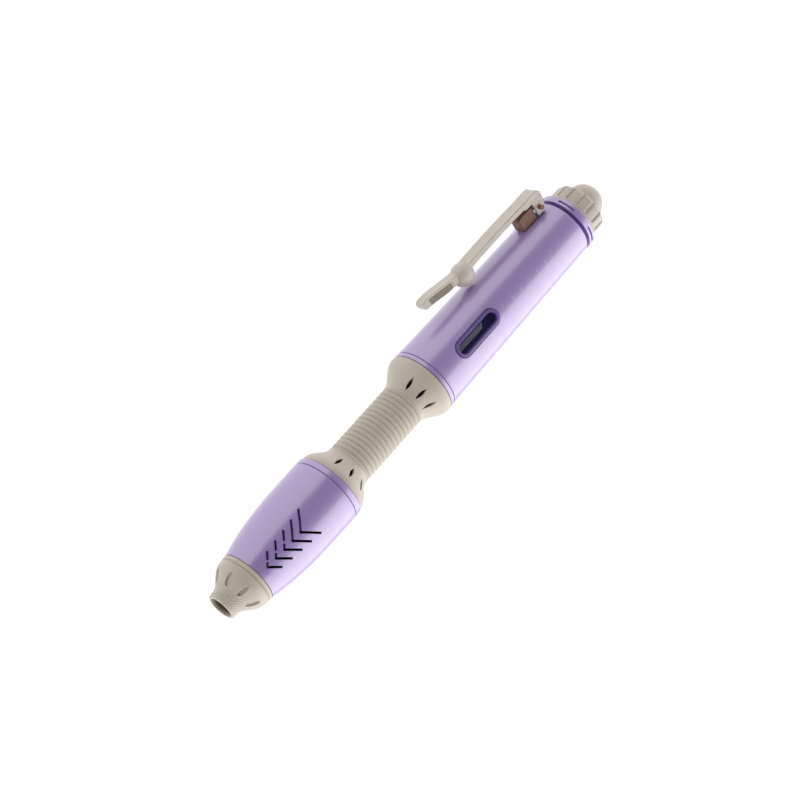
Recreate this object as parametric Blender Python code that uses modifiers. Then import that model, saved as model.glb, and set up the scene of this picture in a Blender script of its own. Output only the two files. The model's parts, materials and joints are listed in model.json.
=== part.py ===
"""A twist-action fabric marking pen that takes a refill.

The pen lies on a table: its axis runs along world X with the nose towards +X, and it rests on
its casing and on the outer corner of its clip.  Each part is modelled about the pen's own axis,
with z from the nose's front face towards the knob and with +x towards the clip, and is then
parented to the empty `pen_axis`.  All the named sizes are in millimetres and degrees.
"""

import math

import bmesh
import bpy
from mathutils import Matrix, Vector

MM = 0.001

# Fits
SEAM = 0.2            # between visible neighbours
SEAT = 0.3            # between hidden neighbours that touch on the real pen
SLIDE_FIT = 0.35      # between pieces that slide along each other
RUN_FIT = 0.08        # between a turning shaft and its bush
HOLE_FIT = 0.1        # round a pin or a screw

# Nose cone
NOSE_LENGTH = 9.6
NOSE_RIM_RADIUS = 3.5
NOSE_RIM_EDGE = 0.25       # its rounded front edge
NOSE_TIP_RADIUS = 3.85
NOSE_TIP_LENGTH = 1.9
NOSE_SHOULDER_RADIUS = 7.05
NOSE_SHOULDER_Z = 7.6
NOSE_BACK_RADIUS = 7.2
NOSE_BACK_LAND = 0.6       # the straight band at its back
NOSE_FLARE_POWER = 0.8     # fullness of its flare
NOSE_BORE_RADIUS = 2.95
NOSE_BORE_DEPTH = 5.6
NOSE_SPIGOT_LENGTH = 3.6
NOSE_LEAVES = 8
NOSE_LEAF_Z = 5.0
NOSE_LEAF_LENGTH = 2.4
NOSE_LEAF_WIDTH = 0.9
NOSE_LEAF_DEPTH = 0.45
NOSE_LEAF_STANDOFF = 0.25  # of the leaf cutter's middle, over the flare's mean radius
BUSH_WALL = 0.4
BUSH_SETBACK = 0.5         # from the nose's rim
BUSH_SHORTFALL = 0.3       # at the far end of its bore
SEAL_RADIUS = 0.3          # of its round section
SEAL_GROOVE_DEPTH = 0.6
SEAL_GROOVE_WIDTH = 1.2

# Lower casing and its five chevron slots
CASING_LENGTH = 27.6
CASING_RADIUS = 9.4
CASING_WIDEST = 23.5       # from its front end
CASING_CURVE = 2.7         # exponent of its swell
CASING_WALL = 1.2
CHEVRONS = 5
CHEVRON_OFFSET = 2.5       # the first one's point, from the casing's front end
CHEVRON_PITCH = 2.75
CHEVRON_HALF_WIDTHS = (2.6, 3.9)
CHEVRON_DEPTHS = (2.6, 3.7)
CHEVRON_STROKE = 0.6
CUTTER_OVERRUN = 3.0       # how far a cutter reaches past the wall it opens

# Waist: collar, lower flare, ribbed grip, upper flare
COLLAR_LENGTH = 1.5
COLLAR_STEP = 0.05         # under the casing's radius
LOWER_FLARE_LENGTH = 6.9
LOWER_FLARE_STEP = 0.4     # under the casing's radius
UPPER_FLARE_LENGTH = 7.5
UPPER_FLARE_RISE = 0.07    # over the barrel's front radius
FLARE_WALL = 1.1
FLARE_FULLNESS = 1.12      # above 1, it reaches its full radius before its end
FLARE_LEAD = 0.02          # share of its length that stays at the neck's radius
SPIGOT_LENGTH = 3.8
GRIP_LENGTH = 19.8
GRIP_WALL = 1.4
GRIP_RIBS = 14
GRIP_RIB_DEPTH = 0.4
GRIP_GROOVE_SHARE = 0.36   # of each rib's pitch
FLARE_LEAF_SPACING = 31.0
FLARE_LEAF_LENGTH = 3.2
FLARE_LEAF_WIDTH = 0.95
LOWER_LEAF_OFFSET = 3.4    # from the flare's wide end
UPPER_LEAF_OFFSET = 4.75
FLARE_LEAF_STANDOFF = 2.5  # of the leaf cutter's middle, over the neck
FRONT_ANGLE = 69.0         # the face with the window and slots, turned from the clip
NUT_LENGTH = 2.0
NUT_STANDOFF = 0.2         # the core tube stands out of the nut by this at each end

# Barrel, window and top ring
BARREL_COLLAR_LENGTH = 1.1
BARREL_COLLAR_RISE = 0.03  # over the barrel's front radius
BARREL_LENGTH = 54.0
BARREL_WALL = 1.22         # at its back end
BARREL_TAPER = 0.81        # its front radius over its back radius
WINDOW_OFFSET = 14.4       # its middle, from the barrel's front end
WINDOW_LENGTH = 15.0
WINDOW_WIDTH = 4.5
BEZEL_WIDTH = 0.8
BEZEL_RISE = 0.2
LENS_SINK = 0.45
LENS_THICKNESS = 0.8
RING_LENGTH = 1.9
RING_RISE = 0.08           # over the barrel's back radius
RING_EDGE = 0.2
RING_GROOVE_LENGTH = 0.8
RING_GROOVE_DEPTH = 0.9
RING_SPIGOT_LENGTH = 5.6
RING_SLOTS = 5
RING_SLOT_OFFSET = 0.85    # from the ring's front face
RING_SLOT_ANGLE = 34.0
RING_SLOT_LENGTH = 0.55
RING_SLOT_DEPTH = 0.8
SPINDLE_BUSH_WALL = 1.0

# Knob and its cap
KNOB_LENGTH = 5.4
KNOB_RADIUS = 7.05
KNOB_CHAMFER = 1.0
KNOB_FLUTES = 15
FLUTE_RADIUS = 0.62
FLUTE_STANDOFF = 0.2       # of its middle, outside the knob
FLUTE_START = 1.0          # from the knob's front face, at the bottom of the flute
KNOB_HUB_LENGTH = 2.43
KNOB_BORE_RADIUS = 3.4
CAP_RADIUS = 4.9
CAP_BASE_LENGTH = 0.4

# Core tube and refill
CARTRIDGE_RADIUS = 3.0
CARTRIDGE_WALL = 0.5
CORE_WALL = 0.75
NIB_RADIUS = 1.2
NIB_POINT_LENGTH = 1.4
NIB_Z = 2.6                # how far the nib is drawn in
NIB_BARE_LENGTH = 3.6      # in front of its holder
NIB_SEAT_LENGTH = 3.5      # inside the cartridge
NIB_HOLDER_CHAMFER = 0.3
PLUG_LENGTH = 4.0
PLUG_HEAD = 1.2
FEED_TRAVEL = 7.0
FEED_TURN = 180.0

# Twist mechanism, placed from the barrel's back end
CAM_WALL = 1.6
CAM_GAP_ANGLE = 4.0
CAM_BASE_LENGTH = 1.2
CAM_OVERLAP = 0.3          # of a ramp with the ring that carries it
CAM_STEP = 0.1             # of a ramp's edges, inside its ring's
SPINDLE_RADIUS = 2.5
SPINDLE_CHAMFER = 0.3
SPRING_TURNS = 6
SPRING_WIRE_RADIUS = 0.35
SPRING_LENGTH = 11.6
SPRING_ROOM = 1.75         # between the follower's sleeve and the guide's bore
SPRING_INSET = 0.05        # inside the flange that it pushes on
FOLLOWER_FLANGE = 1.3
FOLLOWER_WALL = 0.8
FOLLOWER_REACH = 7.0       # its sleeve, in front of its flange
LUG_ROOT = 0.6             # its overlap with the flange
LUG_EDGE = 0.1             # under the flange's faces and the guide's outside
GUIDE_WALL = 0.75
GUIDE_SEAT = 1.2
GUIDE_OVERRUN = 3.0        # past the flange at rest
GUIDE_SLOT_WIDTH = 1.6
GUIDE_SLOT_START = 1.0     # from the guide's seat
SCREW_RADIUS = 0.6
SCREW_HEAD_RADIUS = 1.3
SCREW_HEAD = 0.8
SCREW_POINT = 0.4
KNOB_SCREW_LENGTH = 3.7
KNOB_SCREW_HEAD_RADIUS = 2.3
KNOB_SCREW_CROWN_RADIUS = 1.6
KNOB_SCREW_HEAD = 0.9
KNOB_SCREW_EDGE = 0.6

# Clip
CLIP_WIDTH = 4.0
CLIP_GAP = 4.63            # between the barrel's back end and the strap
CLIP_THICKNESS = 1.5
CLIP_BOW = 0.2             # the strap's middle stands off this much more
CLIP_SETBACK = 3.3         # its foot, from the barrel's back end
CLIP_FOOT_LENGTH = 2.6
CLIP_BLOCK_LENGTH = 6.6
CLIP_BLOCK_DROP = 0.5      # its underside, inside the strap's
CLIP_BLOCK_OVERHANG = 1.1  # behind the foot
CLIP_BLOCK_ROUND = 1.5
CHEEK_THICKNESS = 0.75
BALL_RADIUS = 3.0
BALL_DROP = 0.5            # its middle, inside the strap's inner face
CLIP_REACH = 27.0          # from its foot to the ball
TAIL_WIDTH = 3.0
TAIL_LENGTH = 14.2
TAIL_RISE = 1.75
TAIL_BELLY = 0.9           # how far its inner edge dips inside the strap's inner face
TAIL_END_THICKNESS = 2.0
CLIP_BASE_LENGTH = 9.0
CLIP_BASE_WIDTH = 3.2
CLIP_BASE_ROOM = 0.55      # between its base and the block, so that the clip can rock
CLIP_BASE_EDGE = 0.5
TONGUE_REACH = 0.9         # behind the pin
TONGUE_ROOT = 2.0          # its front end, from the base's
TONGUE_STEP = 0.2          # under the base's top
CLIP_LIFT = 0.4            # under its foot
BASE_FIT = 0.12            # between its base and the barrel
CLIP_BURIED = 1.0          # how deep its blanks reach before the barrel cuts them
PIN_RADIUS = 0.5
PIN_DEPTH = 1.4            # under the base's top
PIN_SHORTFALL = 0.2        # of the pin, inside the clip's width
CLIP_SPRING_RADIUS = 0.85
CLIP_SPRING_WIRE_RADIUS = 0.14
CLIP_SPRING_TURNS = 2
CLIP_SPRING_LENGTH = 0.7
CLIP_SPRING_POCKET = 1.2
CLIP_SCREW_SETBACK = 5.5   # in front of the clip's foot
CLIP_SCREW_DEPTH = 1.2     # its point, under the base's top

# Facets
ROUND = 32
SMALL_ROUND = 24
SCREW_ROUND = 16
COIL_STEPS = 10            # points on each turn of a spring

# Stations along the axis, from the nose's front face
CASING_Z = NOSE_LENGTH + SEAM
COLLAR_Z = CASING_Z + CASING_LENGTH + SEAM
LOWER_FLARE_Z = COLLAR_Z + COLLAR_LENGTH + SEAM
GRIP_Z = LOWER_FLARE_Z + LOWER_FLARE_LENGTH + SEAM
UPPER_FLARE_Z = GRIP_Z + GRIP_LENGTH + SEAM
BARREL_COLLAR_Z = UPPER_FLARE_Z + UPPER_FLARE_LENGTH + SEAM
BARREL_Z = BARREL_COLLAR_Z + BARREL_COLLAR_LENGTH + SEAM
BARREL_END_Z = BARREL_Z + BARREL_LENGTH
RING_Z = BARREL_END_Z + SEAM + RING_GROOVE_LENGTH
RING_END_Z = RING_Z + RING_LENGTH
KNOB_Z = RING_END_Z + SEAM
KNOB_END_Z = KNOB_Z + KNOB_LENGTH
KNOB_FLOOR_Z = KNOB_Z + KNOB_HUB_LENGTH
CAP_Z = KNOB_END_Z + SEAM
PEN_LENGTH = CAP_Z + CAP_BASE_LENGTH + CAP_RADIUS
WINDOW_Z = BARREL_Z + WINDOW_OFFSET
CLIP_FOOT_Z = BARREL_END_Z - CLIP_SETBACK
CLIP_SCREW_Z = CLIP_FOOT_Z - CLIP_SCREW_SETBACK
BALL_Z = CLIP_FOOT_Z - CLIP_REACH

# Radii from the refill outwards, through the core, the mechanism and the barrel
CARTRIDGE_BORE_RADIUS = CARTRIDGE_RADIUS - CARTRIDGE_WALL
CORE_BORE_RADIUS = CARTRIDGE_RADIUS + SLIDE_FIT
CORE_RADIUS = CORE_BORE_RADIUS + CORE_WALL
SLEEVE_BORE_RADIUS = CORE_RADIUS + SEAT
NECK_RADIUS = SLEEVE_BORE_RADIUS + GRIP_WALL
PLUG_POCKET_RADIUS = CARTRIDGE_RADIUS + SEAT
FOLLOWER_RADIUS = PLUG_POCKET_RADIUS + FOLLOWER_WALL
GUIDE_BORE_RADIUS = FOLLOWER_RADIUS + SPRING_ROOM
FLANGE_RADIUS = GUIDE_BORE_RADIUS - SLIDE_FIT
SPRING_RADIUS = FLANGE_RADIUS - SPRING_WIRE_RADIUS - SPRING_INSET
GUIDE_RADIUS = GUIDE_BORE_RADIUS + GUIDE_WALL
BARREL_BORE_RADIUS = GUIDE_RADIUS + SEAT
BARREL_BACK_RADIUS = BARREL_BORE_RADIUS + BARREL_WALL
BARREL_FRONT_RADIUS = BARREL_BACK_RADIUS + BARREL_TAPER
BARREL_SPIGOT_RADIUS = BARREL_BORE_RADIUS - SEAM
CAM_BORE_RADIUS = SPINDLE_RADIUS + SEAT
CAM_RADIUS = CAM_BORE_RADIUS + CAM_WALL

# Radii that follow from an outside neighbour's
BUSH_RADIUS = NOSE_BORE_RADIUS - SEAM
NIB_HOLDER_RADIUS = BUSH_RADIUS - BUSH_WALL - SLIDE_FIT
NOSE_SOCKET_RADIUS = NOSE_BACK_RADIUS - CASING_WALL
NOSE_SPIGOT_RADIUS = NOSE_SOCKET_RADIUS - SEAT
LOWER_FLARE_RADIUS = CASING_RADIUS - LOWER_FLARE_STEP
UPPER_FLARE_RADIUS = BARREL_FRONT_RADIUS + UPPER_FLARE_RISE
RING_RADIUS = BARREL_BACK_RADIUS + RING_RISE
RING_GROOVE_RADIUS = RING_RADIUS - RING_GROOVE_DEPTH

# The clip's distances from the pen's axis
CLIP_INNER = BARREL_BACK_RADIUS + CLIP_GAP
CLIP_OUTER = CLIP_INNER + CLIP_THICKNESS
TAIL_OUTER = CLIP_OUTER + TAIL_RISE
BALL_DISTANCE = CLIP_INNER - BALL_DROP
CLIP_BLOCK_INNER = CLIP_INNER - CLIP_BLOCK_DROP
CLIP_BASE_OUTER = CLIP_BLOCK_INNER - CLIP_BASE_ROOM
PIN_DISTANCE = CLIP_BASE_OUTER - PIN_DEPTH

# Stations of the mechanism
CAM_RISE = FEED_TRAVEL * 360.0 / FEED_TURN
ROTOR_END_Z = BARREL_END_Z + SEAM
CAM_FACE_Z = ROTOR_END_Z - CAM_BASE_LENGTH + SEAM
FLANGE_Z = CAM_FACE_Z - SEAT - CAM_RISE - FOLLOWER_FLANGE
GUIDE_END_Z = FLANGE_Z + FOLLOWER_FLANGE + GUIDE_OVERRUN
SPRING_Z = FLANGE_Z - SEAT - SPRING_LENGTH
GUIDE_Z = SPRING_Z - SEAT - GUIDE_SEAT
CARTRIDGE_Z = NOSE_BORE_DEPTH + FEED_TRAVEL + 2 * SEAT
PLUG_END_Z = FLANGE_Z - SEAM
CARTRIDGE_END_Z = PLUG_END_Z - PLUG_HEAD - SEAM

for leftover in list(bpy.data.objects):
    bpy.data.objects.remove(leftover, do_unlink=True)

pen_parts = bpy.data.collections.new("fabric_marking_pen")
cutters = bpy.data.collections.new("cutters")
bpy.context.scene.collection.children.link(pen_parts)
bpy.context.scene.collection.children.link(cutters)

# The clip's outer corner and the casing's widest ring both touch the table.
corner_radius = math.hypot(TAIL_OUTER, TAIL_WIDTH / 2)
corner_angle = math.atan2(TAIL_WIDTH / 2, TAIL_OUTER)
up_angle = math.acos(-CASING_RADIUS / corner_radius) - corner_angle
clip_reach = TAIL_OUTER * math.sin(up_angle) - TAIL_WIDTH / 2 * math.cos(up_angle)

pen_axis = bpy.data.objects.new("pen_axis", None)
pen_parts.objects.link(pen_axis)
pen_axis.matrix_world = Matrix((
    (0, 0, -1, PEN_LENGTH / 2 * MM),
    (-math.sin(up_angle), math.cos(up_angle), 0, (clip_reach - CASING_RADIUS) / 2 * MM),
    (math.cos(up_angle), math.sin(up_angle), 0, CASING_RADIUS * MM),
    (0, 0, 0, 1)))


def material(name, colour, roughness, metallic=0.0, alpha=1.0):
    made = bpy.data.materials.new(name)
    made.use_nodes = True
    shader = made.node_tree.nodes["Principled BSDF"]
    shader.inputs["Base Color"].default_value = (*colour, 1.0)
    shader.inputs["Roughness"].default_value = roughness
    shader.inputs["Metallic"].default_value = metallic
    shader.inputs["Alpha"].default_value = alpha
    return made


PURPLE = ((0.31, 0.22, 0.55), 0.25)
DARK_PURPLE = ((0.12, 0.07, 0.26), 0.4)
BEIGE = ((0.62, 0.56, 0.49), 0.4)
RUBBER = ((0.58, 0.52, 0.45), 0.6)
BLACK = ((0.02, 0.02, 0.02), 0.6)
STEEL = ((0.6, 0.6, 0.6), 0.3, 1.0)
BROWN = ((0.16, 0.08, 0.06), 0.5)
CLEAR = ((0.75, 0.77, 0.85), 0.05, 0.0, 0.35)
INK = ((0.02, 0.015, 0.12), 0.6)
WHITE = ((0.8, 0.8, 0.78), 0.5)


def add(name, mesh, look, parent=pen_axis, place=None):
    """A part: one named object with its own material, placed in its parent's frame."""
    part = bpy.data.objects.new(name, mesh)
    pen_parts.objects.link(part)
    part.parent = parent
    if place is not None:
        part.matrix_local = place
    if look is not None:
        mesh.materials.append(material(name, *look))
    return part


def add_cutter(name, mesh, place=None):
    """A shape that only cuts or joins others, in the pen's own frame."""
    cutter = bpy.data.objects.new(name, mesh)
    cutters.objects.link(cutter)
    cutter.parent = pen_axis
    if place is not None:
        cutter.matrix_local = place
    cutter.hide_render = True
    cutter.display_type = "WIRE"
    return cutter


def combine(part, cutter, operation="DIFFERENCE"):
    boolean = part.modifiers.new(cutter.name, "BOOLEAN")
    boolean.object = cutter
    boolean.operation = operation
    boolean.solver = "EXACT"
    return part


def profile_mesh(name, points, closed):
    """The outline of a turned part, from its (radius, z) points."""
    outline = bmesh.new()
    verts = [outline.verts.new((radius * MM, 0.0, z * MM)) for radius, z in points]
    for first, second in zip(verts, verts[1:]):
        outline.edges.new((first, second))
    if closed:
        outline.edges.new((verts[-1], verts[0]))
    mesh = bpy.data.meshes.new(name)
    outline.to_mesh(mesh)
    outline.free()
    return mesh


def spin(part, facets):
    screw = part.modifiers.new("turn", "SCREW")
    screw.axis = "Z"
    screw.angle = math.tau
    screw.steps = facets
    screw.render_steps = facets
    screw.use_merge_vertices = True
    screw.merge_threshold = 1e-6
    return part


def ring(name, outer, inner, look, facets=ROUND):
    """A hollow turned part: both walls are (radius, z) points listed from nose to knob."""
    mesh = profile_mesh(name, list(reversed(outer)) + list(inner), closed=True)
    return spin(add(name, mesh, look), facets)


def turned(name, outer, look, facets=ROUND):
    """A solid turned part whose outline starts and ends on the axis, from nose to knob."""
    mesh = profile_mesh(name, list(reversed(outer)), closed=False)
    return spin(add(name, mesh, look), facets)


def tube(name, outer_radius, inner_radius, z, length, look, facets=ROUND):
    end = z + length
    outer = [(outer_radius, z), (outer_radius, end)]
    inner = [(inner_radius, z), (inner_radius, end)]
    return ring(name, outer, inner, look, facets)


def turned_cutter(name, outer, facets=ROUND):
    mesh = profile_mesh(name, list(reversed(outer)), closed=False)
    return spin(add_cutter(name, mesh), facets)


def slab(name, outline, thickness):
    """A flat outline given thickness: a filled 2-D curve, made a welded mesh."""
    curve = bpy.data.curves.new(name, "CURVE")
    curve.dimensions = "2D"
    curve.fill_mode = "BOTH"
    curve.extrude = thickness / 2 * MM
    spline = curve.splines.new("POLY")
    spline.points.add(len(outline) - 1)
    for point, (across, along) in zip(spline.points, outline):
        point.co = (across * MM, along * MM, 0.0, 1.0)
    spline.use_cyclic_u = True
    flat = bpy.data.objects.new(name, curve)
    pen_parts.objects.link(flat)
    evaluated = flat.evaluated_get(bpy.context.evaluated_depsgraph_get())
    mesh = bpy.data.meshes.new_from_object(evaluated)
    bpy.data.objects.remove(flat)
    bpy.data.curves.remove(curve)
    welded = bmesh.new()
    welded.from_mesh(mesh)
    bmesh.ops.remove_doubles(welded, verts=welded.verts, dist=1e-7)
    bmesh.ops.recalc_face_normals(welded, faces=welded.faces)
    welded.to_mesh(mesh)
    welded.free()
    mesh.name = name
    return mesh


def cylinder_mesh(name, radius, length, facets=SMALL_ROUND):
    solid = bmesh.new()
    bmesh.ops.create_cone(solid, cap_ends=True, segments=facets,
                          radius1=radius * MM, radius2=radius * MM, depth=length * MM)
    mesh = bpy.data.meshes.new(name)
    solid.to_mesh(mesh)
    solid.free()
    return mesh


def box_mesh(name, size):
    solid = bmesh.new()
    bmesh.ops.create_cube(solid, size=1.0)
    bmesh.ops.scale(solid, vec=Vector(size) * MM, verts=solid.verts)
    mesh = bpy.data.meshes.new(name)
    solid.to_mesh(mesh)
    solid.free()
    return mesh


def repeated(name, mesh, places):
    """One mesh that holds a copy of another at each place."""
    joined = bmesh.new()
    for place in places:
        copy = mesh.copy()
        copy.transform(place)
        joined.from_mesh(copy)
        bpy.data.meshes.remove(copy)
    result = bpy.data.meshes.new(name)
    joined.to_mesh(result)
    joined.free()
    return result


def facing_out(angle, radius, z):
    """A place on a wall: x runs round the pen, y along it and z straight out of it."""
    turn = math.radians(angle)
    out = Vector((math.cos(turn), math.sin(turn), 0.0))
    around = Vector((-math.sin(turn), math.cos(turn), 0.0))
    along = Vector((0.0, 0.0, 1.0))
    place = Matrix((around, along, out)).transposed().to_4x4()
    place.translation = (out * radius + along * z) * MM
    return place


def along_axis(x, y, z):
    return Matrix.Translation(Vector((x, y, z)) * MM)


def leaf(length, width, points=6):
    """A pointed oval, lying lengthwise along y."""
    side = [(width / 2 * math.sin(math.pi * step / points), length * (step / points - 0.5))
            for step in range(points + 1)]
    return side + [(-across, along) for across, along in reversed(side[1:-1])]


def racetrack(length, width, steps=6):
    """A slot outline with round ends, lying lengthwise along y."""
    radius = width / 2
    outline = []
    for end, start in ((1, 0.0), (-1, math.pi)):
        for step in range(steps + 1):
            turn = start + math.pi * step / steps
            outline.append((radius * math.cos(turn),
                            end * (length / 2 - radius) + radius * math.sin(turn)))
    return outline


def smooth_step(share):
    share = min(max(share, 0.0), 1.0)
    return share * share * (3 - 2 * share)


def casing_radius(z, wall=0.0):
    """The casing swells from the nose's radius to its own and then runs level."""
    share = max(0.0, 1 - (z - CASING_Z) / CASING_WIDEST)
    return CASING_RADIUS - (CASING_RADIUS - NOSE_BACK_RADIUS) * share ** CASING_CURVE - wall


def barrel_radius(z):
    share = (z - BARREL_Z) / BARREL_LENGTH
    return BARREL_FRONT_RADIUS + (BARREL_BACK_RADIUS - BARREL_FRONT_RADIUS) * share


def spaced(start, end, count):
    return [start + (end - start) * step / (count - 1) for step in range(count)]


def make_nose():
    bore_end = NOSE_BORE_DEPTH
    back = NOSE_LENGTH + NOSE_SPIGOT_LENGTH
    swell = NOSE_SHOULDER_RADIUS - NOSE_TIP_RADIUS
    flare_length = NOSE_SHOULDER_Z - NOSE_TIP_LENGTH
    flare = [(NOSE_TIP_RADIUS + swell * smooth_step(share) ** NOSE_FLARE_POWER,
              NOSE_TIP_LENGTH + flare_length * share) for share in spaced(0.0, 1.0, 7)]
    groove = NOSE_LENGTH + NOSE_SPIGOT_LENGTH / 2
    groove_front = groove - SEAL_GROOVE_WIDTH / 2
    groove_back = groove + SEAL_GROOVE_WIDTH / 2
    groove_floor = NOSE_SPIGOT_RADIUS - SEAL_GROOVE_DEPTH
    outer = [(NOSE_RIM_RADIUS, 0.0), (NOSE_RIM_RADIUS + NOSE_RIM_EDGE, NOSE_RIM_EDGE)] + flare + [
        (NOSE_BACK_RADIUS, NOSE_LENGTH - NOSE_BACK_LAND), (NOSE_BACK_RADIUS, NOSE_LENGTH),
        (NOSE_SPIGOT_RADIUS, NOSE_LENGTH), (NOSE_SPIGOT_RADIUS, groove_front),
        (groove_floor, groove_front), (groove_floor, groove_back),
        (NOSE_SPIGOT_RADIUS, groove_back), (NOSE_SPIGOT_RADIUS, back)]
    inner = [(NOSE_BORE_RADIUS, 0.0), (NOSE_BORE_RADIUS, bore_end),
             (SLEEVE_BORE_RADIUS, bore_end), (SLEEVE_BORE_RADIUS, back)]
    nose = ring("nose_cone", outer, inner, BEIGE)
    leaf_radius = (NOSE_TIP_RADIUS + NOSE_SHOULDER_RADIUS) / 2
    shape = slab("nose_leaf", leaf(NOSE_LEAF_LENGTH, NOSE_LEAF_WIDTH), 2 * NOSE_LEAF_DEPTH)
    tilt = Matrix.Rotation(math.atan2(swell, flare_length), 4, "X")
    places = [facing_out(FRONT_ANGLE + 360 * turn / NOSE_LEAVES, leaf_radius + NOSE_LEAF_STANDOFF,
                         NOSE_LEAF_Z) @ tilt for turn in range(NOSE_LEAVES)]
    combine(nose, add_cutter("nose_leaf_cutter", repeated("nose_leaves", shape, places)))
    tube("nose_bush", BUSH_RADIUS, BUSH_RADIUS - BUSH_WALL, BUSH_SETBACK,
         NOSE_BORE_DEPTH - BUSH_SETBACK - BUSH_SHORTFALL, BROWN, SMALL_ROUND)
    section = [(math.cos(turn), math.sin(turn)) for turn in spaced(0.0, -math.tau, 9)[:-1]]
    seal_middle = groove_floor + SEAM / 2 + SEAL_RADIUS
    seal = [(seal_middle + SEAL_RADIUS * across, groove + SEAL_RADIUS * along)
            for across, along in section]
    spin(add("nose_seal", profile_mesh("nose_seal", seal, closed=True), BLACK), SMALL_ROUND)


def make_casing():
    end = CASING_Z + CASING_LENGTH
    stations = spaced(CASING_Z, end, 9)
    outer = [(casing_radius(z), z) for z in stations]
    socket_end = CASING_Z + NOSE_SPIGOT_LENGTH
    inner = [(NOSE_SOCKET_RADIUS, CASING_Z), (NOSE_SOCKET_RADIUS, socket_end)]
    inner += [(casing_radius(z, CASING_WALL), z) for z in stations[::2] if z > socket_end]
    casing = ring("lower_casing", outer, inner, PURPLE)
    cutter_mesh = bmesh.new()
    for row in range(CHEVRONS):
        share = row / (CHEVRONS - 1)
        half = CHEVRON_HALF_WIDTHS[0] + (CHEVRON_HALF_WIDTHS[1] - CHEVRON_HALF_WIDTHS[0]) * share
        depth = CHEVRON_DEPTHS[0] + (CHEVRON_DEPTHS[1] - CHEVRON_DEPTHS[0]) * share
        rise = CHEVRON_STROKE * math.hypot(half, depth) / half
        outline = [(0, 0), (half, depth), (half, depth + rise), (0, rise),
                   (-half, depth + rise), (-half, depth)]
        chevron = slab("chevron", outline, 2 * CASING_WALL + CUTTER_OVERRUN)
        tip = CASING_Z + CHEVRON_OFFSET + CHEVRON_PITCH * row
        chevron.transform(facing_out(FRONT_ANGLE, casing_radius(tip), tip - rise / 2))
        cutter_mesh.from_mesh(chevron)
        bpy.data.meshes.remove(chevron)
    chevrons = bpy.data.meshes.new("chevrons")
    cutter_mesh.to_mesh(chevrons)
    cutter_mesh.free()
    combine(casing, add_cutter("chevron_cutter", chevrons))
    tube("casing_collar", CASING_RADIUS - COLLAR_STEP, CASING_RADIUS - CASING_WALL - SEAT,
         COLLAR_Z, COLLAR_LENGTH, PURPLE)


def flare_walls(wide_radius, wide_z, narrow_z, spigot_radius, spigot_z):
    """Both walls of a trumpet that joins the neck to a wider shell, from its wide end."""
    outer = [(spigot_radius, spigot_z), (spigot_radius, wide_z)]
    inner = []
    for share in spaced(0.0, 1.0, 8):
        swell = smooth_step(FLARE_FULLNESS * (1 - share) - FLARE_LEAD)
        radius = NECK_RADIUS + (wide_radius - NECK_RADIUS) * swell
        z = wide_z + (narrow_z - wide_z) * share
        outer.append((radius, z))
        if share > 0:
            inner.append((max(radius - FLARE_WALL, SLEEVE_BORE_RADIUS), z))
    mouth = spigot_radius - FLARE_WALL
    return outer, [(mouth, spigot_z), (mouth, wide_z)] + inner


def make_waist():
    shape = slab("flare_leaf", leaf(FLARE_LEAF_LENGTH, FLARE_LEAF_WIDTH), 2 * CUTTER_OVERRUN)
    leaf_radius = NECK_RADIUS + FLARE_LEAF_STANDOFF
    turns = [side + step * FLARE_LEAF_SPACING for side in (FRONT_ANGLE, FRONT_ANGLE + 180)
             for step in (-1, 0, 1)]
    lower_wide = LOWER_FLARE_Z
    lower_narrow = LOWER_FLARE_Z + LOWER_FLARE_LENGTH
    lower_spigot = CASING_RADIUS - CASING_WALL - 2 * SEAT
    outer, inner = flare_walls(LOWER_FLARE_RADIUS, lower_wide, lower_narrow, lower_spigot,
                               COLLAR_Z - SPIGOT_LENGTH)
    lower = ring("lower_flare", outer, inner, BEIGE)
    places = [facing_out(turn, leaf_radius, lower_wide + LOWER_LEAF_OFFSET) for turn in turns]
    combine(lower, add_cutter("lower_leaf_cutter", repeated("lower_leaves", shape, places)))

    outer = [(NECK_RADIUS, GRIP_Z)]
    pitch = GRIP_LENGTH / (GRIP_RIBS + 1)
    half_groove = GRIP_GROOVE_SHARE * pitch / 2
    for groove in range(GRIP_RIBS + 1):
        middle = GRIP_Z + pitch * (groove + 0.5)
        outer += [(NECK_RADIUS, middle - half_groove), (NECK_RADIUS - GRIP_RIB_DEPTH, middle),
                  (NECK_RADIUS, middle + half_groove)]
    outer.append((NECK_RADIUS, GRIP_Z + GRIP_LENGTH))
    inner = [(SLEEVE_BORE_RADIUS, GRIP_Z), (SLEEVE_BORE_RADIUS, GRIP_Z + GRIP_LENGTH)]
    ring("grip_sleeve", outer, inner, RUBBER, SMALL_ROUND)

    upper_wide = UPPER_FLARE_Z + UPPER_FLARE_LENGTH
    outer, inner = flare_walls(UPPER_FLARE_RADIUS, upper_wide, UPPER_FLARE_Z, BARREL_SPIGOT_RADIUS,
                               BARREL_Z + SPIGOT_LENGTH / 2)
    upper = ring("upper_flare", list(reversed(outer)), list(reversed(inner)), BEIGE)
    places = [facing_out(turn, leaf_radius, upper_wide - UPPER_LEAF_OFFSET) for turn in turns]
    combine(upper, add_cutter("upper_leaf_cutter", repeated("upper_leaves", shape, places)))
    tube("barrel_collar", BARREL_FRONT_RADIUS + BARREL_COLLAR_RISE, BARREL_BORE_RADIUS, BARREL_COLLAR_Z,
         BARREL_COLLAR_LENGTH, PURPLE)


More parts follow.
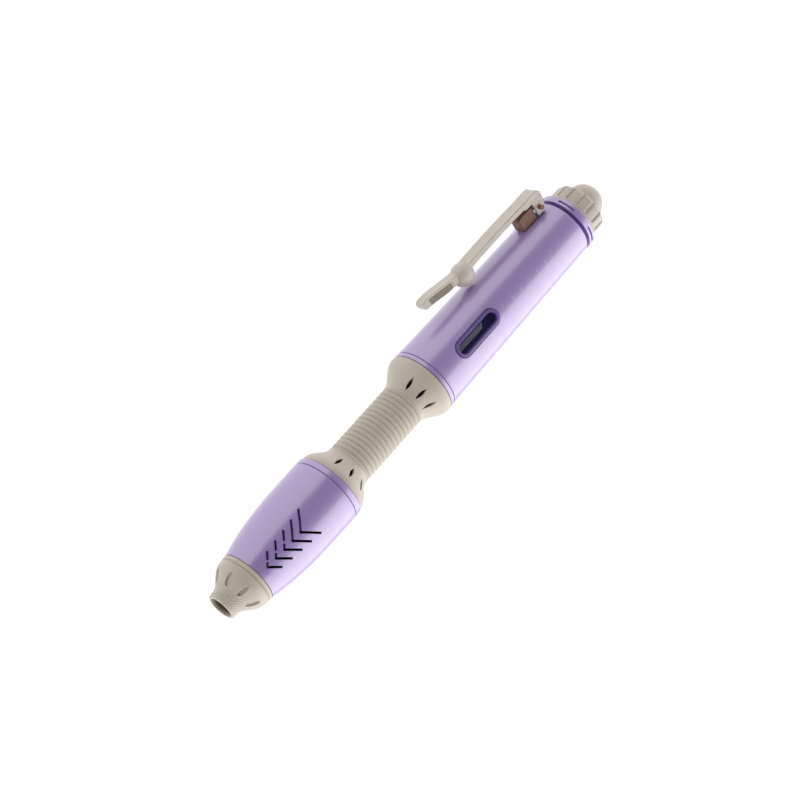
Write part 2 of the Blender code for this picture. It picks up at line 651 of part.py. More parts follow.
def make_core():
    front = NOSE_BORE_DEPTH + SEAT
    nut_z = BARREL_Z + SPIGOT_LENGTH / 2 + SEAT
    end = nut_z + NUT_LENGTH + 2 * NUT_STANDOFF
    tube("core_tube", CORE_RADIUS, CORE_BORE_RADIUS, front, end - front, DARK_PURPLE)
    corner_radius = BARREL_BORE_RADIUS - SEAT
    hexagon = [(corner_radius * math.cos(math.radians(60 * corner)),
                corner_radius * math.sin(math.radians(60 * corner))) for corner in range(6)]
    place = along_axis(0, 0, nut_z + NUT_LENGTH / 2)
    nut = add("clamp_nut", slab("clamp_nut", hexagon, NUT_LENGTH), STEEL, place=place)
    hole = cylinder_mesh("clamp_nut_hole", CORE_RADIUS + SEAM, 2 * NUT_LENGTH, ROUND)
    combine(nut, add_cutter("clamp_nut_hole", hole, place))


def curved_plate(name, outline, outer_radius, inner_radius, look):
    """A plate cut out of the barrel's wall: an upright slab kept only between two radii."""
    middle = (outer_radius + inner_radius) / 2
    plate = add(name, slab(name, outline, 2 * (outer_radius - inner_radius)), look,
                place=facing_out(FRONT_ANGLE, middle, WINDOW_Z))
    start, end = WINDOW_Z - WINDOW_LENGTH, WINDOW_Z + WINDOW_LENGTH
    wall = [(outer_radius, start), (outer_radius, end)], [(inner_radius, start), (inner_radius, end)]
    mesh = profile_mesh(name + "_wall", list(reversed(wall[0])) + wall[1], closed=True)
    combine(plate, spin(add_cutter(name + "_wall", mesh), 2 * ROUND), "INTERSECT")
    return plate


def make_barrel():
    outer = [(BARREL_FRONT_RADIUS, BARREL_Z), (BARREL_BACK_RADIUS, BARREL_END_Z)]
    inner = [(BARREL_BORE_RADIUS, BARREL_Z), (BARREL_BORE_RADIUS, BARREL_END_Z)]
    barrel = ring("barrel", outer, inner, PURPLE)
    opening = slab("window_opening", racetrack(WINDOW_LENGTH + 2 * SEAM, WINDOW_WIDTH + 2 * SEAM),
                   2 * CUTTER_OVERRUN)
    combine(barrel, add_cutter("window_cutter", opening,
                               facing_out(FRONT_ANGLE, barrel_radius(WINDOW_Z), WINDOW_Z)))
    hole = cylinder_mesh("clip_screw_hole", SCREW_RADIUS + SEAM, 2 * CUTTER_OVERRUN, SCREW_ROUND)
    combine(barrel, add_cutter("clip_screw_hole", hole,
                               facing_out(0, barrel_radius(CLIP_SCREW_Z), CLIP_SCREW_Z)))

    surface = barrel_radius(WINDOW_Z)
    bezel = curved_plate("window_bezel", racetrack(WINDOW_LENGTH, WINDOW_WIDTH),
                         surface + BEZEL_RISE, BARREL_BORE_RADIUS + SEAT, PURPLE)
    glass_length = WINDOW_LENGTH - 2 * BEZEL_WIDTH
    glass_width = WINDOW_WIDTH - 2 * BEZEL_WIDTH
    inside = slab("bezel_opening", racetrack(glass_length, glass_width), 2 * CUTTER_OVERRUN)
    combine(bezel, add_cutter("bezel_cutter", inside, facing_out(FRONT_ANGLE, surface, WINDOW_Z)))
    curved_plate("window_lens", racetrack(glass_length - 2 * SEAM, glass_width - 2 * SEAM),
                 surface - LENS_SINK, surface - LENS_SINK - LENS_THICKNESS, CLEAR)


def make_top_ring():
    spigot_z = BARREL_END_Z - RING_SPIGOT_LENGTH
    groove_z = BARREL_END_Z + SEAM
    outer = [(BARREL_SPIGOT_RADIUS, spigot_z), (BARREL_SPIGOT_RADIUS, groove_z),
             (RING_GROOVE_RADIUS, groove_z), (RING_GROOVE_RADIUS, RING_Z),
             (RING_RADIUS, RING_Z), (RING_RADIUS, RING_END_Z - RING_EDGE),
             (RING_RADIUS - RING_EDGE, RING_END_Z)]
    bush_radius = SPINDLE_RADIUS + SPINDLE_BUSH_WALL
    seat_z = ROTOR_END_Z + SEAT
    inner = [(CAM_RADIUS + SEAT, spigot_z), (CAM_RADIUS + SEAT, seat_z),
             (bush_radius + SEAM, seat_z), (bush_radius + SEAM, RING_END_Z)]
    top_ring = ring("top_ring", outer, inner, PURPLE)
    half = math.radians(RING_SLOT_ANGLE / 2)
    arcs = [(radius * math.cos(turn), radius * math.sin(turn))
            for radius, sweep in ((RING_RADIUS + CUTTER_OVERRUN, spaced(-half, half, 6)),
                                  (RING_RADIUS - RING_SLOT_DEPTH, spaced(half, -half, 6)))
            for turn in sweep]
    slot = along_axis(0, 0, RING_Z + RING_SLOT_OFFSET)
    spots = [Matrix.Rotation(math.tau * (turn + 0.5) / RING_SLOTS, 4, "Z") @ slot
             for turn in range(RING_SLOTS)]
    slots = repeated("ring_slots", slab("ring_slot", arcs, RING_SLOT_LENGTH), spots)
    combine(top_ring, add_cutter("ring_slot_cutter", slots))
    tube("spindle_bush", bush_radius, SPINDLE_RADIUS + RUN_FIT, seat_z, RING_END_Z - seat_z - SEAM,
         WHITE, SMALL_ROUND)


def make_knob():
    outer = [(KNOB_RADIUS, KNOB_Z), (KNOB_RADIUS, KNOB_END_Z - KNOB_CHAMFER),
             (KNOB_RADIUS - 0.45 * KNOB_CHAMFER, KNOB_END_Z - 0.35 * KNOB_CHAMFER),
             (KNOB_RADIUS - KNOB_CHAMFER, KNOB_END_Z)]
    hub = SPINDLE_RADIUS + SEAM
    inner = [(hub, KNOB_Z), (hub, KNOB_FLOOR_Z), (KNOB_BORE_RADIUS, KNOB_FLOOR_Z),
             (KNOB_BORE_RADIUS, KNOB_END_Z)]
    knob = ring("knob", outer, inner, BEIGE, 3 * KNOB_FLUTES)
    flute = cylinder_mesh("flute", FLUTE_RADIUS, KNOB_LENGTH, 10)
    at_rim = along_axis(KNOB_RADIUS + FLUTE_STANDOFF, 0, KNOB_Z + FLUTE_START + KNOB_LENGTH / 2)
    spots = [Matrix.Rotation(math.tau * turn / KNOB_FLUTES, 4, "Z") @ at_rim
             for turn in range(KNOB_FLUTES)]
    combine(knob, add_cutter("flute_cutter", repeated("flutes", flute, spots)))

    plug = KNOB_BORE_RADIUS - SEAM
    plug_z = KNOB_FLOOR_Z + KNOB_SCREW_HEAD + 2 * SEAT
    dome = [(CAP_RADIUS * math.cos(turn), CAP_Z + CAP_BASE_LENGTH + CAP_RADIUS * math.sin(turn))
            for turn in spaced(0.0, math.pi / 2, 7)[:-1]]
    turned("knob_cap", [(0.0, plug_z), (plug, plug_z), (plug, CAP_Z), (CAP_RADIUS, CAP_Z)]
           + dome + [(0.0, PEN_LENGTH)], BEIGE)

    start = CAM_FACE_Z - CAM_RISE + SEAT
    spindle_end = KNOB_FLOOR_Z - SEAT
    spindle = turned("knob_spindle", [(0.0, start), (SPINDLE_RADIUS - SPINDLE_CHAMFER, start),
                                      (SPINDLE_RADIUS, start + SPINDLE_CHAMFER),
                                      (SPINDLE_RADIUS, spindle_end), (0.0, spindle_end)],
                     STEEL, SMALL_ROUND)
    socket = cylinder_mesh("screw_socket", SCREW_RADIUS + SEAM, 2 * KNOB_SCREW_LENGTH, SCREW_ROUND)
    combine(spindle, add_cutter("screw_socket", socket, along_axis(0, 0, spindle_end)))
    head_z = KNOB_FLOOR_Z + SEAT / 2
    head_end = head_z + KNOB_SCREW_HEAD
    point = head_z - KNOB_SCREW_LENGTH
    turned("knob_screw", [(0.0, point), (SCREW_RADIUS, point + SCREW_POINT), (SCREW_RADIUS, head_z),
                          (KNOB_SCREW_HEAD_RADIUS, head_z),
                          (KNOB_SCREW_HEAD_RADIUS, head_z + KNOB_SCREW_EDGE),
                          (KNOB_SCREW_CROWN_RADIUS, head_end), (0.0, head_end)],
           STEEL, SMALL_ROUND)


def cam_ring(name, flat_z, face_z, start_angle, facets=36):
    """A ring whose far end is a turn of a helix, split at a narrow gap where the turn closes."""
    shape = bmesh.new()
    sections = []
    for turn in spaced(start_angle, start_angle + 360.0 - CAM_GAP_ANGLE / 2, facets):
        heading = Vector((math.cos(math.radians(turn)), math.sin(math.radians(turn)), 0.0))
        ramp_z = face_z - CAM_RISE * turn / 360.0
        sections.append([shape.verts.new((heading * radius + Vector((0, 0, z))) * MM)
                         for radius, z in ((CAM_RADIUS, flat_z), (CAM_BORE_RADIUS, flat_z),
                                           (CAM_BORE_RADIUS, ramp_z), (CAM_RADIUS, ramp_z))])
    for near, far in zip(sections, sections[1:]):
        for corner in range(4):
            beside = (corner + 1) % 4
            shape.faces.new((near[corner], near[beside], far[beside], far[corner]))
    shape.faces.new(sections[0])
    shape.faces.new(sections[-1])
    bmesh.ops.recalc_face_normals(shape, faces=shape.faces)
    mesh = bpy.data.meshes.new(name)
    shape.to_mesh(mesh)
    shape.free()
    return mesh


def coil(name, radius, wire_radius, turns, length, look, place):
    """A spring along its own z, made as a wire."""
    curve = bpy.data.curves.new(name, "CURVE")
    curve.dimensions = "3D"
    curve.bevel_depth = wire_radius * MM
    curve.bevel_resolution = 2
    curve.use_fill_caps = True
    steps = COIL_STEPS * turns
    points = [(radius * math.cos(math.tau * step / COIL_STEPS),
               radius * math.sin(math.tau * step / COIL_STEPS),
               length * step / steps) for step in range(steps + 1)]
    spline = curve.splines.new("POLY")
    spline.points.add(len(points) - 1)
    for point, place_on_wire in zip(spline.points, points):
        point.co = (*(Vector(place_on_wire) * MM), 1.0)
    return add(name, curve, look, place=place)


def make_mechanism():
    rotor = tube("cam_rotor", CAM_RADIUS + CAM_STEP, CAM_BORE_RADIUS - CAM_STEP,
                 ROTOR_END_Z - CAM_BASE_LENGTH, CAM_BASE_LENGTH, WHITE)
    ramp = add_cutter("rotor_ramp", cam_ring("rotor_ramp", ROTOR_END_Z - CAM_OVERLAP, CAM_FACE_Z, 0.0))
    combine(rotor, ramp, "UNION")

    sleeve_z = FLANGE_Z - FOLLOWER_REACH
    flange_end = FLANGE_Z + FOLLOWER_FLANGE
    outer = [(FOLLOWER_RADIUS, sleeve_z), (FOLLOWER_RADIUS, FLANGE_Z),
             (FLANGE_RADIUS, FLANGE_Z), (FLANGE_RADIUS, flange_end)]
    inner = [(PLUG_POCKET_RADIUS, sleeve_z), (PLUG_POCKET_RADIUS, FLANGE_Z),
             (CAM_BORE_RADIUS - CAM_STEP, FLANGE_Z), (CAM_BORE_RADIUS - CAM_STEP, flange_end)]
    follower = ring("cam_follower", outer, inner, WHITE)
    combine(follower, add_cutter("follower_ramp", cam_ring(
        "follower_ramp", FLANGE_Z + FOLLOWER_FLANGE / 2, CAM_FACE_Z - SEAT, CAM_GAP_ANGLE)), "UNION")
    lug_out = GUIDE_RADIUS - LUG_EDGE
    lug_in = FLANGE_RADIUS - LUG_ROOT
    lug = box_mesh("lug", (GUIDE_SLOT_WIDTH - 2 * SEAM, FOLLOWER_FLANGE - 2 * LUG_EDGE,
                           lug_out - lug_in))
    lugs = repeated("lugs", lug, [facing_out(turn, (lug_out + lug_in) / 2,
                                             FLANGE_Z + FOLLOWER_FLANGE / 2) for turn in (90, 270)])
    combine(follower, add_cutter("lugs", lugs), "UNION")

    seat_end = GUIDE_Z + GUIDE_SEAT
    outer = [(GUIDE_RADIUS, GUIDE_Z), (GUIDE_RADIUS, GUIDE_END_Z)]
    inner = [(FOLLOWER_RADIUS + SLIDE_FIT, GUIDE_Z), (FOLLOWER_RADIUS + SLIDE_FIT, seat_end),
             (GUIDE_BORE_RADIUS, seat_end), (GUIDE_BORE_RADIUS, GUIDE_END_Z)]
    guide = ring("guide_sleeve", outer, inner, BLACK)
    slot_length = GUIDE_END_Z - seat_end - GUIDE_SLOT_START
    slot = box_mesh("guide_slot", (GUIDE_SLOT_WIDTH, 2 * slot_length, CUTTER_OVERRUN))
    slots = repeated("guide_slots", slot, [facing_out(turn, GUIDE_RADIUS, GUIDE_END_Z)
                                           for turn in (90, 270)])
    combine(guide, add_cutter("guide_slot_cutter", slots))
    coil("return_spring", SPRING_RADIUS, SPRING_WIRE_RADIUS, SPRING_TURNS,
         SPRING_LENGTH - 2 * SPRING_WIRE_RADIUS, STEEL,
         along_axis(0, 0, SPRING_Z + SPRING_WIRE_RADIUS))


def make_refill():
    bore = CARTRIDGE_BORE_RADIUS
    tube("ink_cartridge", CARTRIDGE_RADIUS, bore, CARTRIDGE_Z, CARTRIDGE_END_Z - CARTRIDGE_Z, CLEAR,
         SMALL_ROUND)
    plug_z = CARTRIDGE_END_Z - PLUG_LENGTH
    turned("cartridge_plug", [(0.0, plug_z), (bore - SEAM, plug_z),
                              (bore - SEAM, CARTRIDGE_END_Z + SEAM),
                              (CARTRIDGE_RADIUS, CARTRIDGE_END_Z + SEAM),
                              (CARTRIDGE_RADIUS, PLUG_END_Z), (0.0, PLUG_END_Z)], BLACK, SMALL_ROUND)
    holder_z = NIB_Z + NIB_BARE_LENGTH
    seat_z = CARTRIDGE_Z + SEAM
    seat_end = CARTRIDGE_Z + NIB_SEAT_LENGTH
    outer = [(NIB_HOLDER_RADIUS - NIB_HOLDER_CHAMFER, holder_z),
             (NIB_HOLDER_RADIUS, holder_z + NIB_HOLDER_CHAMFER),
             (NIB_HOLDER_RADIUS, seat_z), (bore - SEAM, seat_z), (bore - SEAM, seat_end)]
    inner = [(NIB_RADIUS + SEAM, holder_z), (NIB_RADIUS + SEAM, seat_end)]
    ring("nib_holder", outer, inner, BLACK, SMALL_ROUND)
    tip = [(NIB_RADIUS * math.sin(turn), NIB_Z + NIB_POINT_LENGTH * (1 - math.cos(turn)))
           for turn in spaced(0.0, math.pi / 2, 5)]
    turned("nib", tip + [(NIB_RADIUS, seat_end), (0.0, seat_end)], INK, SCREW_ROUND)
    wick_z = seat_end + SEAT
    wick_end = plug_z - SEAT
    turned("ink_wick", [(0.0, wick_z), (bore - SEAT, wick_z), (bore - SEAT, wick_end),
                        (0.0, wick_end)], INK, SMALL_ROUND)


def make_clip():
    """The strap, its ball and its finger tab swing on a pin through the base on the barrel."""
    hinge = bpy.data.objects.new("clip_hinge", None)
    pen_parts.objects.link(hinge)
    hinge.parent = pen_axis
    hinge.matrix_local = along_axis(PIN_DISTANCE, 0, CLIP_FOOT_Z)
    # A side view: x is the distance from the pen's axis, y the place along it.
    side = Matrix(((1, 0, 0, 0), (0, 0, -1, 0), (0, 1, 0, 0), (0, 0, 0, 1)))
    on_hinge = along_axis(-PIN_DISTANCE, 0, -CLIP_FOOT_Z) @ side

    foot_front = CLIP_FOOT_Z - CLIP_FOOT_LENGTH / 2
    foot_back = CLIP_FOOT_Z + CLIP_FOOT_LENGTH / 2
    block_back = foot_back + CLIP_BLOCK_OVERHANG
    block_front = block_back - CLIP_BLOCK_LENGTH
    middle = (BALL_Z + block_front) / 2
    buried = BARREL_BACK_RADIUS - CLIP_BURIED
    corner = [(CLIP_OUTER - CLIP_BLOCK_ROUND * (1 - math.cos(turn)),
               block_back - CLIP_BLOCK_ROUND * (1 - math.sin(turn)))
              for turn in spaced(0.0, math.pi / 2, 4)]
    strap = add("clip_strap", slab("clip_strap", [
        (CLIP_OUTER, BALL_Z), (CLIP_OUTER + CLIP_BOW, middle), (CLIP_OUTER, block_front)] + corner + [
        (CLIP_BLOCK_INNER - CLIP_BLOCK_DROP, block_back),
        (CLIP_BLOCK_INNER - 2 * CLIP_BLOCK_DROP, foot_back), (buried, foot_back),
        (buried, foot_front), (CLIP_BLOCK_INNER, foot_front),
        (CLIP_BLOCK_INNER, block_front + CLIP_BLOCK_DROP), (CLIP_INNER, block_front),
        (CLIP_INNER + CLIP_BOW, middle), (CLIP_INNER, BALL_Z)], CLIP_WIDTH), BEIGE, hinge, on_hinge)
    around_barrel = [(0.0, BARREL_Z), (BARREL_FRONT_RADIUS, BARREL_Z),
                     (BARREL_BACK_RADIUS, BARREL_END_Z), (0.0, BARREL_END_Z)]
    for name, gap in (("foot_clearance", CLIP_LIFT), ("base_clearance", BASE_FIT)):
        turned_cutter(name, [(radius + gap if radius else 0.0, z) for radius, z in around_barrel])
    combine(strap, cutters.objects["foot_clearance"])
    tongue_outer = CLIP_BASE_OUTER - TONGUE_STEP
    slot_outer = tongue_outer + 2 * SEAT
    slot_width = CLIP_WIDTH - 2 * CHEEK_THICKNESS
    slot = box_mesh("cheek_slot", (2 * (slot_outer - buried), 2 * CLIP_FOOT_LENGTH, slot_width))
    combine(strap, add_cutter("cheek_slot", slot, side @ along_axis(buried, CLIP_FOOT_Z, 0)))
    at_pin = side @ along_axis(PIN_DISTANCE, CLIP_FOOT_Z, 0)
    hole = cylinder_mesh("strap_pin_hole", PIN_RADIUS + HOLE_FIT, 2 * CLIP_WIDTH, SCREW_ROUND)
    combine(strap, add_cutter("strap_pin_hole", hole, at_pin))

    ball = bmesh.new()
    bmesh.ops.create_uvsphere(ball, u_segments=20, v_segments=12, radius=BALL_RADIUS * MM)
    ball_mesh = bpy.data.meshes.new("clip_ball")
    ball.to_mesh(ball_mesh)
    ball.free()
    socket = ball_mesh.copy()
    socket.transform(Matrix.Scale(1 + SEAM / BALL_RADIUS, 4))
    at_ball = side @ along_axis(BALL_DISTANCE, BALL_Z, 0)
    add("clip_ball", ball_mesh, BEIGE, hinge, along_axis(-PIN_DISTANCE, 0, -CLIP_FOOT_Z) @ at_ball)
    ball_socket = add_cutter("ball_socket", socket, at_ball)
    combine(strap, ball_socket)

    # A side view of the tab: its outer edge lifts away from the barrel and turns round an end as
    # thick as the strap, and its inner edge dips to a small belly on the way back to the ball.
    end = BALL_Z - TAIL_LENGTH
    end_radius = TAIL_END_THICKNESS / 2
    outer_edge = [(CLIP_OUTER + TAIL_RISE * smooth_step(share), BALL_Z - share * (TAIL_LENGTH - end_radius))
                  for share in spaced(0.0, 1.0, 6)]
    turned_end = [(TAIL_OUTER - end_radius * (1 - math.cos(turn)), end + end_radius * (1 - math.sin(turn)))
                  for turn in spaced(0.0, math.pi, 7)[1:]]
    inner_edge = [(TAIL_OUTER - TAIL_END_THICKNESS
                   - (TAIL_OUTER - TAIL_END_THICKNESS - CLIP_INNER + TAIL_BELLY) * smooth_step(1.6 * share),
                   end + end_radius + share * (TAIL_LENGTH - end_radius))
                  for share in spaced(0.0, 1.0, 8)[1:]]
    tail = add("clip_tab", slab("clip_tab", outer_edge + turned_end + inner_edge, TAIL_WIDTH),
               BEIGE, hinge, on_hinge)
    combine(tail, ball_socket)

    pin = cylinder_mesh("clip_pin", PIN_RADIUS, CLIP_WIDTH - PIN_SHORTFALL, SCREW_ROUND)
    add("clip_pin", pin, STEEL, hinge, side)

    base_back = foot_front - SEAT
    tongue_end = CLIP_FOOT_Z + TONGUE_REACH
    base_front = tongue_end - CLIP_BASE_LENGTH
    base = add("clip_base", slab("clip_base", [
        (buried, base_front), (CLIP_BASE_OUTER - CLIP_BASE_EDGE, base_front),
        (CLIP_BASE_OUTER, base_front + CLIP_BASE_EDGE), (CLIP_BASE_OUTER, base_back),
        (buried, base_back)], CLIP_BASE_WIDTH), BROWN, place=side)
    tongue_front = base_front + TONGUE_ROOT
    tongue_inner = buried + TONGUE_STEP
    tongue = slab("tongue", [(tongue_inner, tongue_front), (tongue_outer, tongue_front),
                             (tongue_outer, tongue_end), (tongue_inner, tongue_end)],
                  slot_width - 2 * SEAT)
    combine(base, add_cutter("tongue", tongue, side), "UNION")
    combine(base, cutters.objects["base_clearance"])
    hole = cylinder_mesh("base_pin_hole", PIN_RADIUS + RUN_FIT, 2 * CLIP_WIDTH, SCREW_ROUND)
    combine(base, add_cutter("base_pin_hole", hole, at_pin))
    pocket_inner = CLIP_SPRING_RADIUS + CLIP_SPRING_WIRE_RADIUS + SEAM
    pocket_outer = PIN_DEPTH + SEAM
    pocket = box_mesh("spring_pocket", (pocket_inner + pocket_outer, 2 * pocket_inner, CLIP_SPRING_POCKET))
    combine(base, add_cutter("spring_pocket", pocket,
                             at_pin @ along_axis((pocket_outer - pocket_inner) / 2, 0, 0)))
    coil("clip_spring", CLIP_SPRING_RADIUS, CLIP_SPRING_WIRE_RADIUS, CLIP_SPRING_TURNS,
         CLIP_SPRING_LENGTH, STEEL, at_pin @ along_axis(0, 0, -CLIP_SPRING_LENGTH / 2))

    head = BARREL_BORE_RADIUS - SEAT
    tip = CLIP_BASE_OUTER - CLIP_SCREW_DEPTH
    screw = turned("clip_screw", [(0.0, head - SCREW_HEAD), (SCREW_HEAD_RADIUS, head - SCREW_HEAD),
                                  (SCREW_HEAD_RADIUS, head), (SCREW_RADIUS, head),
                                  (SCREW_RADIUS, tip - SCREW_POINT), (0.0, tip)], STEEL, SCREW_ROUND)
    screw.matrix_local = facing_out(0, 0, CLIP_SCREW_Z)
    hole = cylinder_mesh("base_screw_hole", SCREW_RADIUS + HOLE_FIT, 2 * (tip - buried + SEAM), SCREW_ROUND)
    combine(base, add_cutter("base_screw_hole", hole, facing_out(0, buried, CLIP_SCREW_Z)))


make_nose()
make_casing()
make_waist()
make_core()
make_barrel()
make_top_ring()
make_knob()
make_mechanism()
make_refill()
make_clip()
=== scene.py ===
"""The looks of a twist-action fabric marking pen that takes a refill.

The pen lies on a table with its nose towards +X.  Each section makes one piece, or a group of like
pieces, in the order in which the pen is put together.  Sizes are in millimetres, and `on_pen`
places them: along the pen from the nose's front, out towards the clip, and sideways.
"""

import json
import math

import bmesh
import bpy
import numpy as np
from mathutils import Matrix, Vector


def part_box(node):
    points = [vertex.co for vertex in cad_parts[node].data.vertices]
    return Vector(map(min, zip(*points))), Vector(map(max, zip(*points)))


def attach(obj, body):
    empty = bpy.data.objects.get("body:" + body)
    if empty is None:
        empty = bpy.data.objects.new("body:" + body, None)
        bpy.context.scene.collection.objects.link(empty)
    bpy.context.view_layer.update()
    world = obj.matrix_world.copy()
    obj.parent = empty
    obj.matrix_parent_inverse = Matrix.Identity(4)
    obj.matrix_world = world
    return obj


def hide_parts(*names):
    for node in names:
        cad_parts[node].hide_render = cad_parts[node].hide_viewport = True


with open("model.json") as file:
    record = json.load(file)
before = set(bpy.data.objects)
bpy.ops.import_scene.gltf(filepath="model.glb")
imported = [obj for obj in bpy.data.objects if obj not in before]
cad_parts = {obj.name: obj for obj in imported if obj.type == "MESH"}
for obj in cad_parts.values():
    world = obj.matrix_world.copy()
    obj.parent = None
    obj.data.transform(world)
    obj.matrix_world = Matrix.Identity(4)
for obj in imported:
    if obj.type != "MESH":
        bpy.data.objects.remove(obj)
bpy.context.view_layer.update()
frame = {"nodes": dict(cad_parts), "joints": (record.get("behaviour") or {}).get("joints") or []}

# The pen's own directions.  The knob turns about the pen's axis, and the clip rocks about a pin that
# lies across it, so the two joints say where the axis is and which way the clip stands off.
MM = 0.001
joints = {joint["name"]: joint for joint in frame["joints"]}
axis_y, axis_z = joints["knob_turn"]["pos_m"][1:]
to_knob = np.array((-1.0, 0.0, 0.0))
sideways = -np.array(joints["clip_flex"]["axis"], float)
outwards = np.cross(sideways, to_knob)
nose_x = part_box("nose_cone")[1].x
FRONT_ANGLE = 69.0      # the face with the window and the slots, turned from the clip


def on_pen(along, out, side):
    """Points in the frame: the axis, plus each distance times its own direction."""
    along, out, side = np.broadcast_arrays(along, out, side)
    start = np.array((nose_x, axis_y, axis_z))
    return start + MM * (along[..., None] * to_knob + out[..., None] * outwards + side[..., None] * sideways)


def span(node):
    """Where a part starts and ends along the pen."""
    low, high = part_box(node)
    return (nose_x - high.x) / MM, (nose_x - low.x) / MM


def reach(node):
    """A turned part's outer radius: half its height."""
    low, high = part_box(node)
    return (high.z - low.z) / 2 / MM


def heading(angle):
    """The direction that leaves the pen's axis at this angle from the clip."""
    return outwards * math.cos(math.radians(angle)) + sideways * math.sin(math.radians(angle))


def frame_of(rightward, upward, backward, place):
    """The matrix that stands an object at a place: its three directions and the place are its columns."""
    return Matrix(np.vstack([np.column_stack([rightward, upward, backward, place]), (0, 0, 0, 1)]).tolist())


# Camera: over the window's side of the pen and a little beyond its nose, rolled so that the pen
# runs from the lower left to the upper right of the picture.
VIEW_ANGLE = 56.0
VIEW_TILT = math.radians(21.5)
VIEW_ROLL = math.radians(48.09)
VIEW_DISTANCE = 593.24
VIEW_MIDDLE = 67.06
VIEW_OFFSET = (-0.88, 0.85)
LENS_LENGTH, SENSOR_WIDTH, NEAREST = 112.5, 36.0, 0.02
upright = heading(VIEW_ANGLE)
backwards = math.cos(VIEW_TILT) * upright - math.sin(VIEW_TILT) * to_knob
lengthwise = math.cos(VIEW_TILT) * to_knob + math.sin(VIEW_TILT) * upright
crosswise = heading(VIEW_ANGLE - 90)
right = math.cos(VIEW_ROLL) * lengthwise - math.sin(VIEW_ROLL) * crosswise
up = math.sin(VIEW_ROLL) * lengthwise + math.cos(VIEW_ROLL) * crosswise
eye = on_pen(VIEW_MIDDLE, 0.0, 0.0) + MM * (
    VIEW_DISTANCE * backwards + VIEW_OFFSET[0] * right + VIEW_OFFSET[1] * up)
camera = bpy.data.objects.new("camera", bpy.data.cameras.new("camera"))
camera.data.lens = LENS_LENGTH
camera.data.sensor_width = SENSOR_WIDTH
camera.data.clip_start = NEAREST
camera.matrix_world = frame_of(right, up, backwards, eye)
bpy.context.scene.collection.objects.link(camera)
bpy.context.scene.camera = camera

# Studio: a white table in a pale tent.  The tent is darkest around the camera's place, which gives
# the pen's middle its depth, and a wide softbox hangs above and behind the pen.
TENT_CLOTH, TENT_LIGHT, TENT_DARK = (0.97, 0.97, 1.0, 1.0), 1.0, 0.12
TENT_PALE_FROM, TENT_DARK_FROM = -0.05, 0.85        # cosines of the angle from the camera's side
bpy.context.scene.view_settings.view_transform = "Standard"
world = bpy.data.worlds.new("tent")
bpy.context.scene.world = world
world.use_nodes = True
tent, cloth = world.node_tree, world.node_tree.nodes["Background"]
cloth.inputs["Color"].default_value = TENT_CLOTH
towards, facing, fall = (tent.nodes.new(kind) for kind in (
    "ShaderNodeTexCoord", "ShaderNodeVectorMath", "ShaderNodeMapRange"))
facing.operation = "DOT_PRODUCT"
facing.inputs[1].default_value = backwards
fall.interpolation_type = "SMOOTHSTEP"
for socket, value in (("From Min", TENT_PALE_FROM), ("From Max", TENT_DARK_FROM),
                      ("To Min", TENT_LIGHT), ("To Max", TENT_DARK)):
    fall.inputs[socket].default_value = value
tent.links.new(towards.outputs["Generated"], facing.inputs[0])
tent.links.new(facing.outputs["Value"], fall.inputs["Value"])
tent.links.new(fall.outputs["Result"], cloth.inputs["Strength"])


def softbox(name, direction, distance, width, depth, power):
    """An area light that faces the pen's middle, its width along the pen."""
    lamp = bpy.data.objects.new(name, bpy.data.lights.new(name, "AREA"))
    lamp.data.shape = "RECTANGLE"
    lamp.data.size = width
    lamp.data.size_y = depth
    lamp.data.energy = power
    place = on_pen(VIEW_MIDDLE, 0.0, 0.0) + distance * direction
    across = np.cross(direction, to_knob)
    across = across / np.linalg.norm(across)
    length = np.cross(across, direction)
    lamp.matrix_world = frame_of(length, across, direction, place)
    bpy.context.scene.collection.objects.link(lamp)


SOFTBOX_ANGLE, SOFTBOX_DISTANCE, SOFTBOX_WIDTH, SOFTBOX_DEPTH, SOFTBOX_POWER = 144.0, 0.45, 1.6, 0.80, 5.0
softbox("key_softbox", heading(SOFTBOX_ANGLE), SOFTBOX_DISTANCE, SOFTBOX_WIDTH, SOFTBOX_DEPTH, SOFTBOX_POWER)

FLOOR_HALF, FLOOR_GREY, FLOOR_ROUGHNESS, FLOOR_GLOW = 3.0, 0.2, 0.9, 0.92
floor_mesh = bpy.data.meshes.new("table")
floor_mesh.from_pydata([(-FLOOR_HALF, -FLOOR_HALF, 0), (FLOOR_HALF, -FLOOR_HALF, 0),
                        (FLOOR_HALF, FLOOR_HALF, 0), (-FLOOR_HALF, FLOOR_HALF, 0)], [], [(0, 1, 2, 3)])
floor = bpy.data.objects.new("table", floor_mesh)
bpy.context.scene.collection.objects.link(floor)
paper = bpy.data.materials.new("white_table")
paper.use_nodes = True
paper_shader = paper.node_tree.nodes["Principled BSDF"]
paper_shader.inputs["Base Color"].default_value = (FLOOR_GREY, FLOOR_GREY, FLOOR_GREY, 1.0)
paper_shader.inputs["Roughness"].default_value = FLOOR_ROUGHNESS
paper_shader.inputs["Emission Color"].default_value = (1.0, 1.0, 1.0, 1.0)
paper_shader.inputs["Emission Strength"].default_value = FLOOR_GLOW
floor_mesh.materials.append(paper)


# Moulded finish, shared by the pen's plastics: a soft cloud of a second shade, and a fine grain that
# stirs both the roughness and the surface.
ROUGHNESS_STIR = 0.12


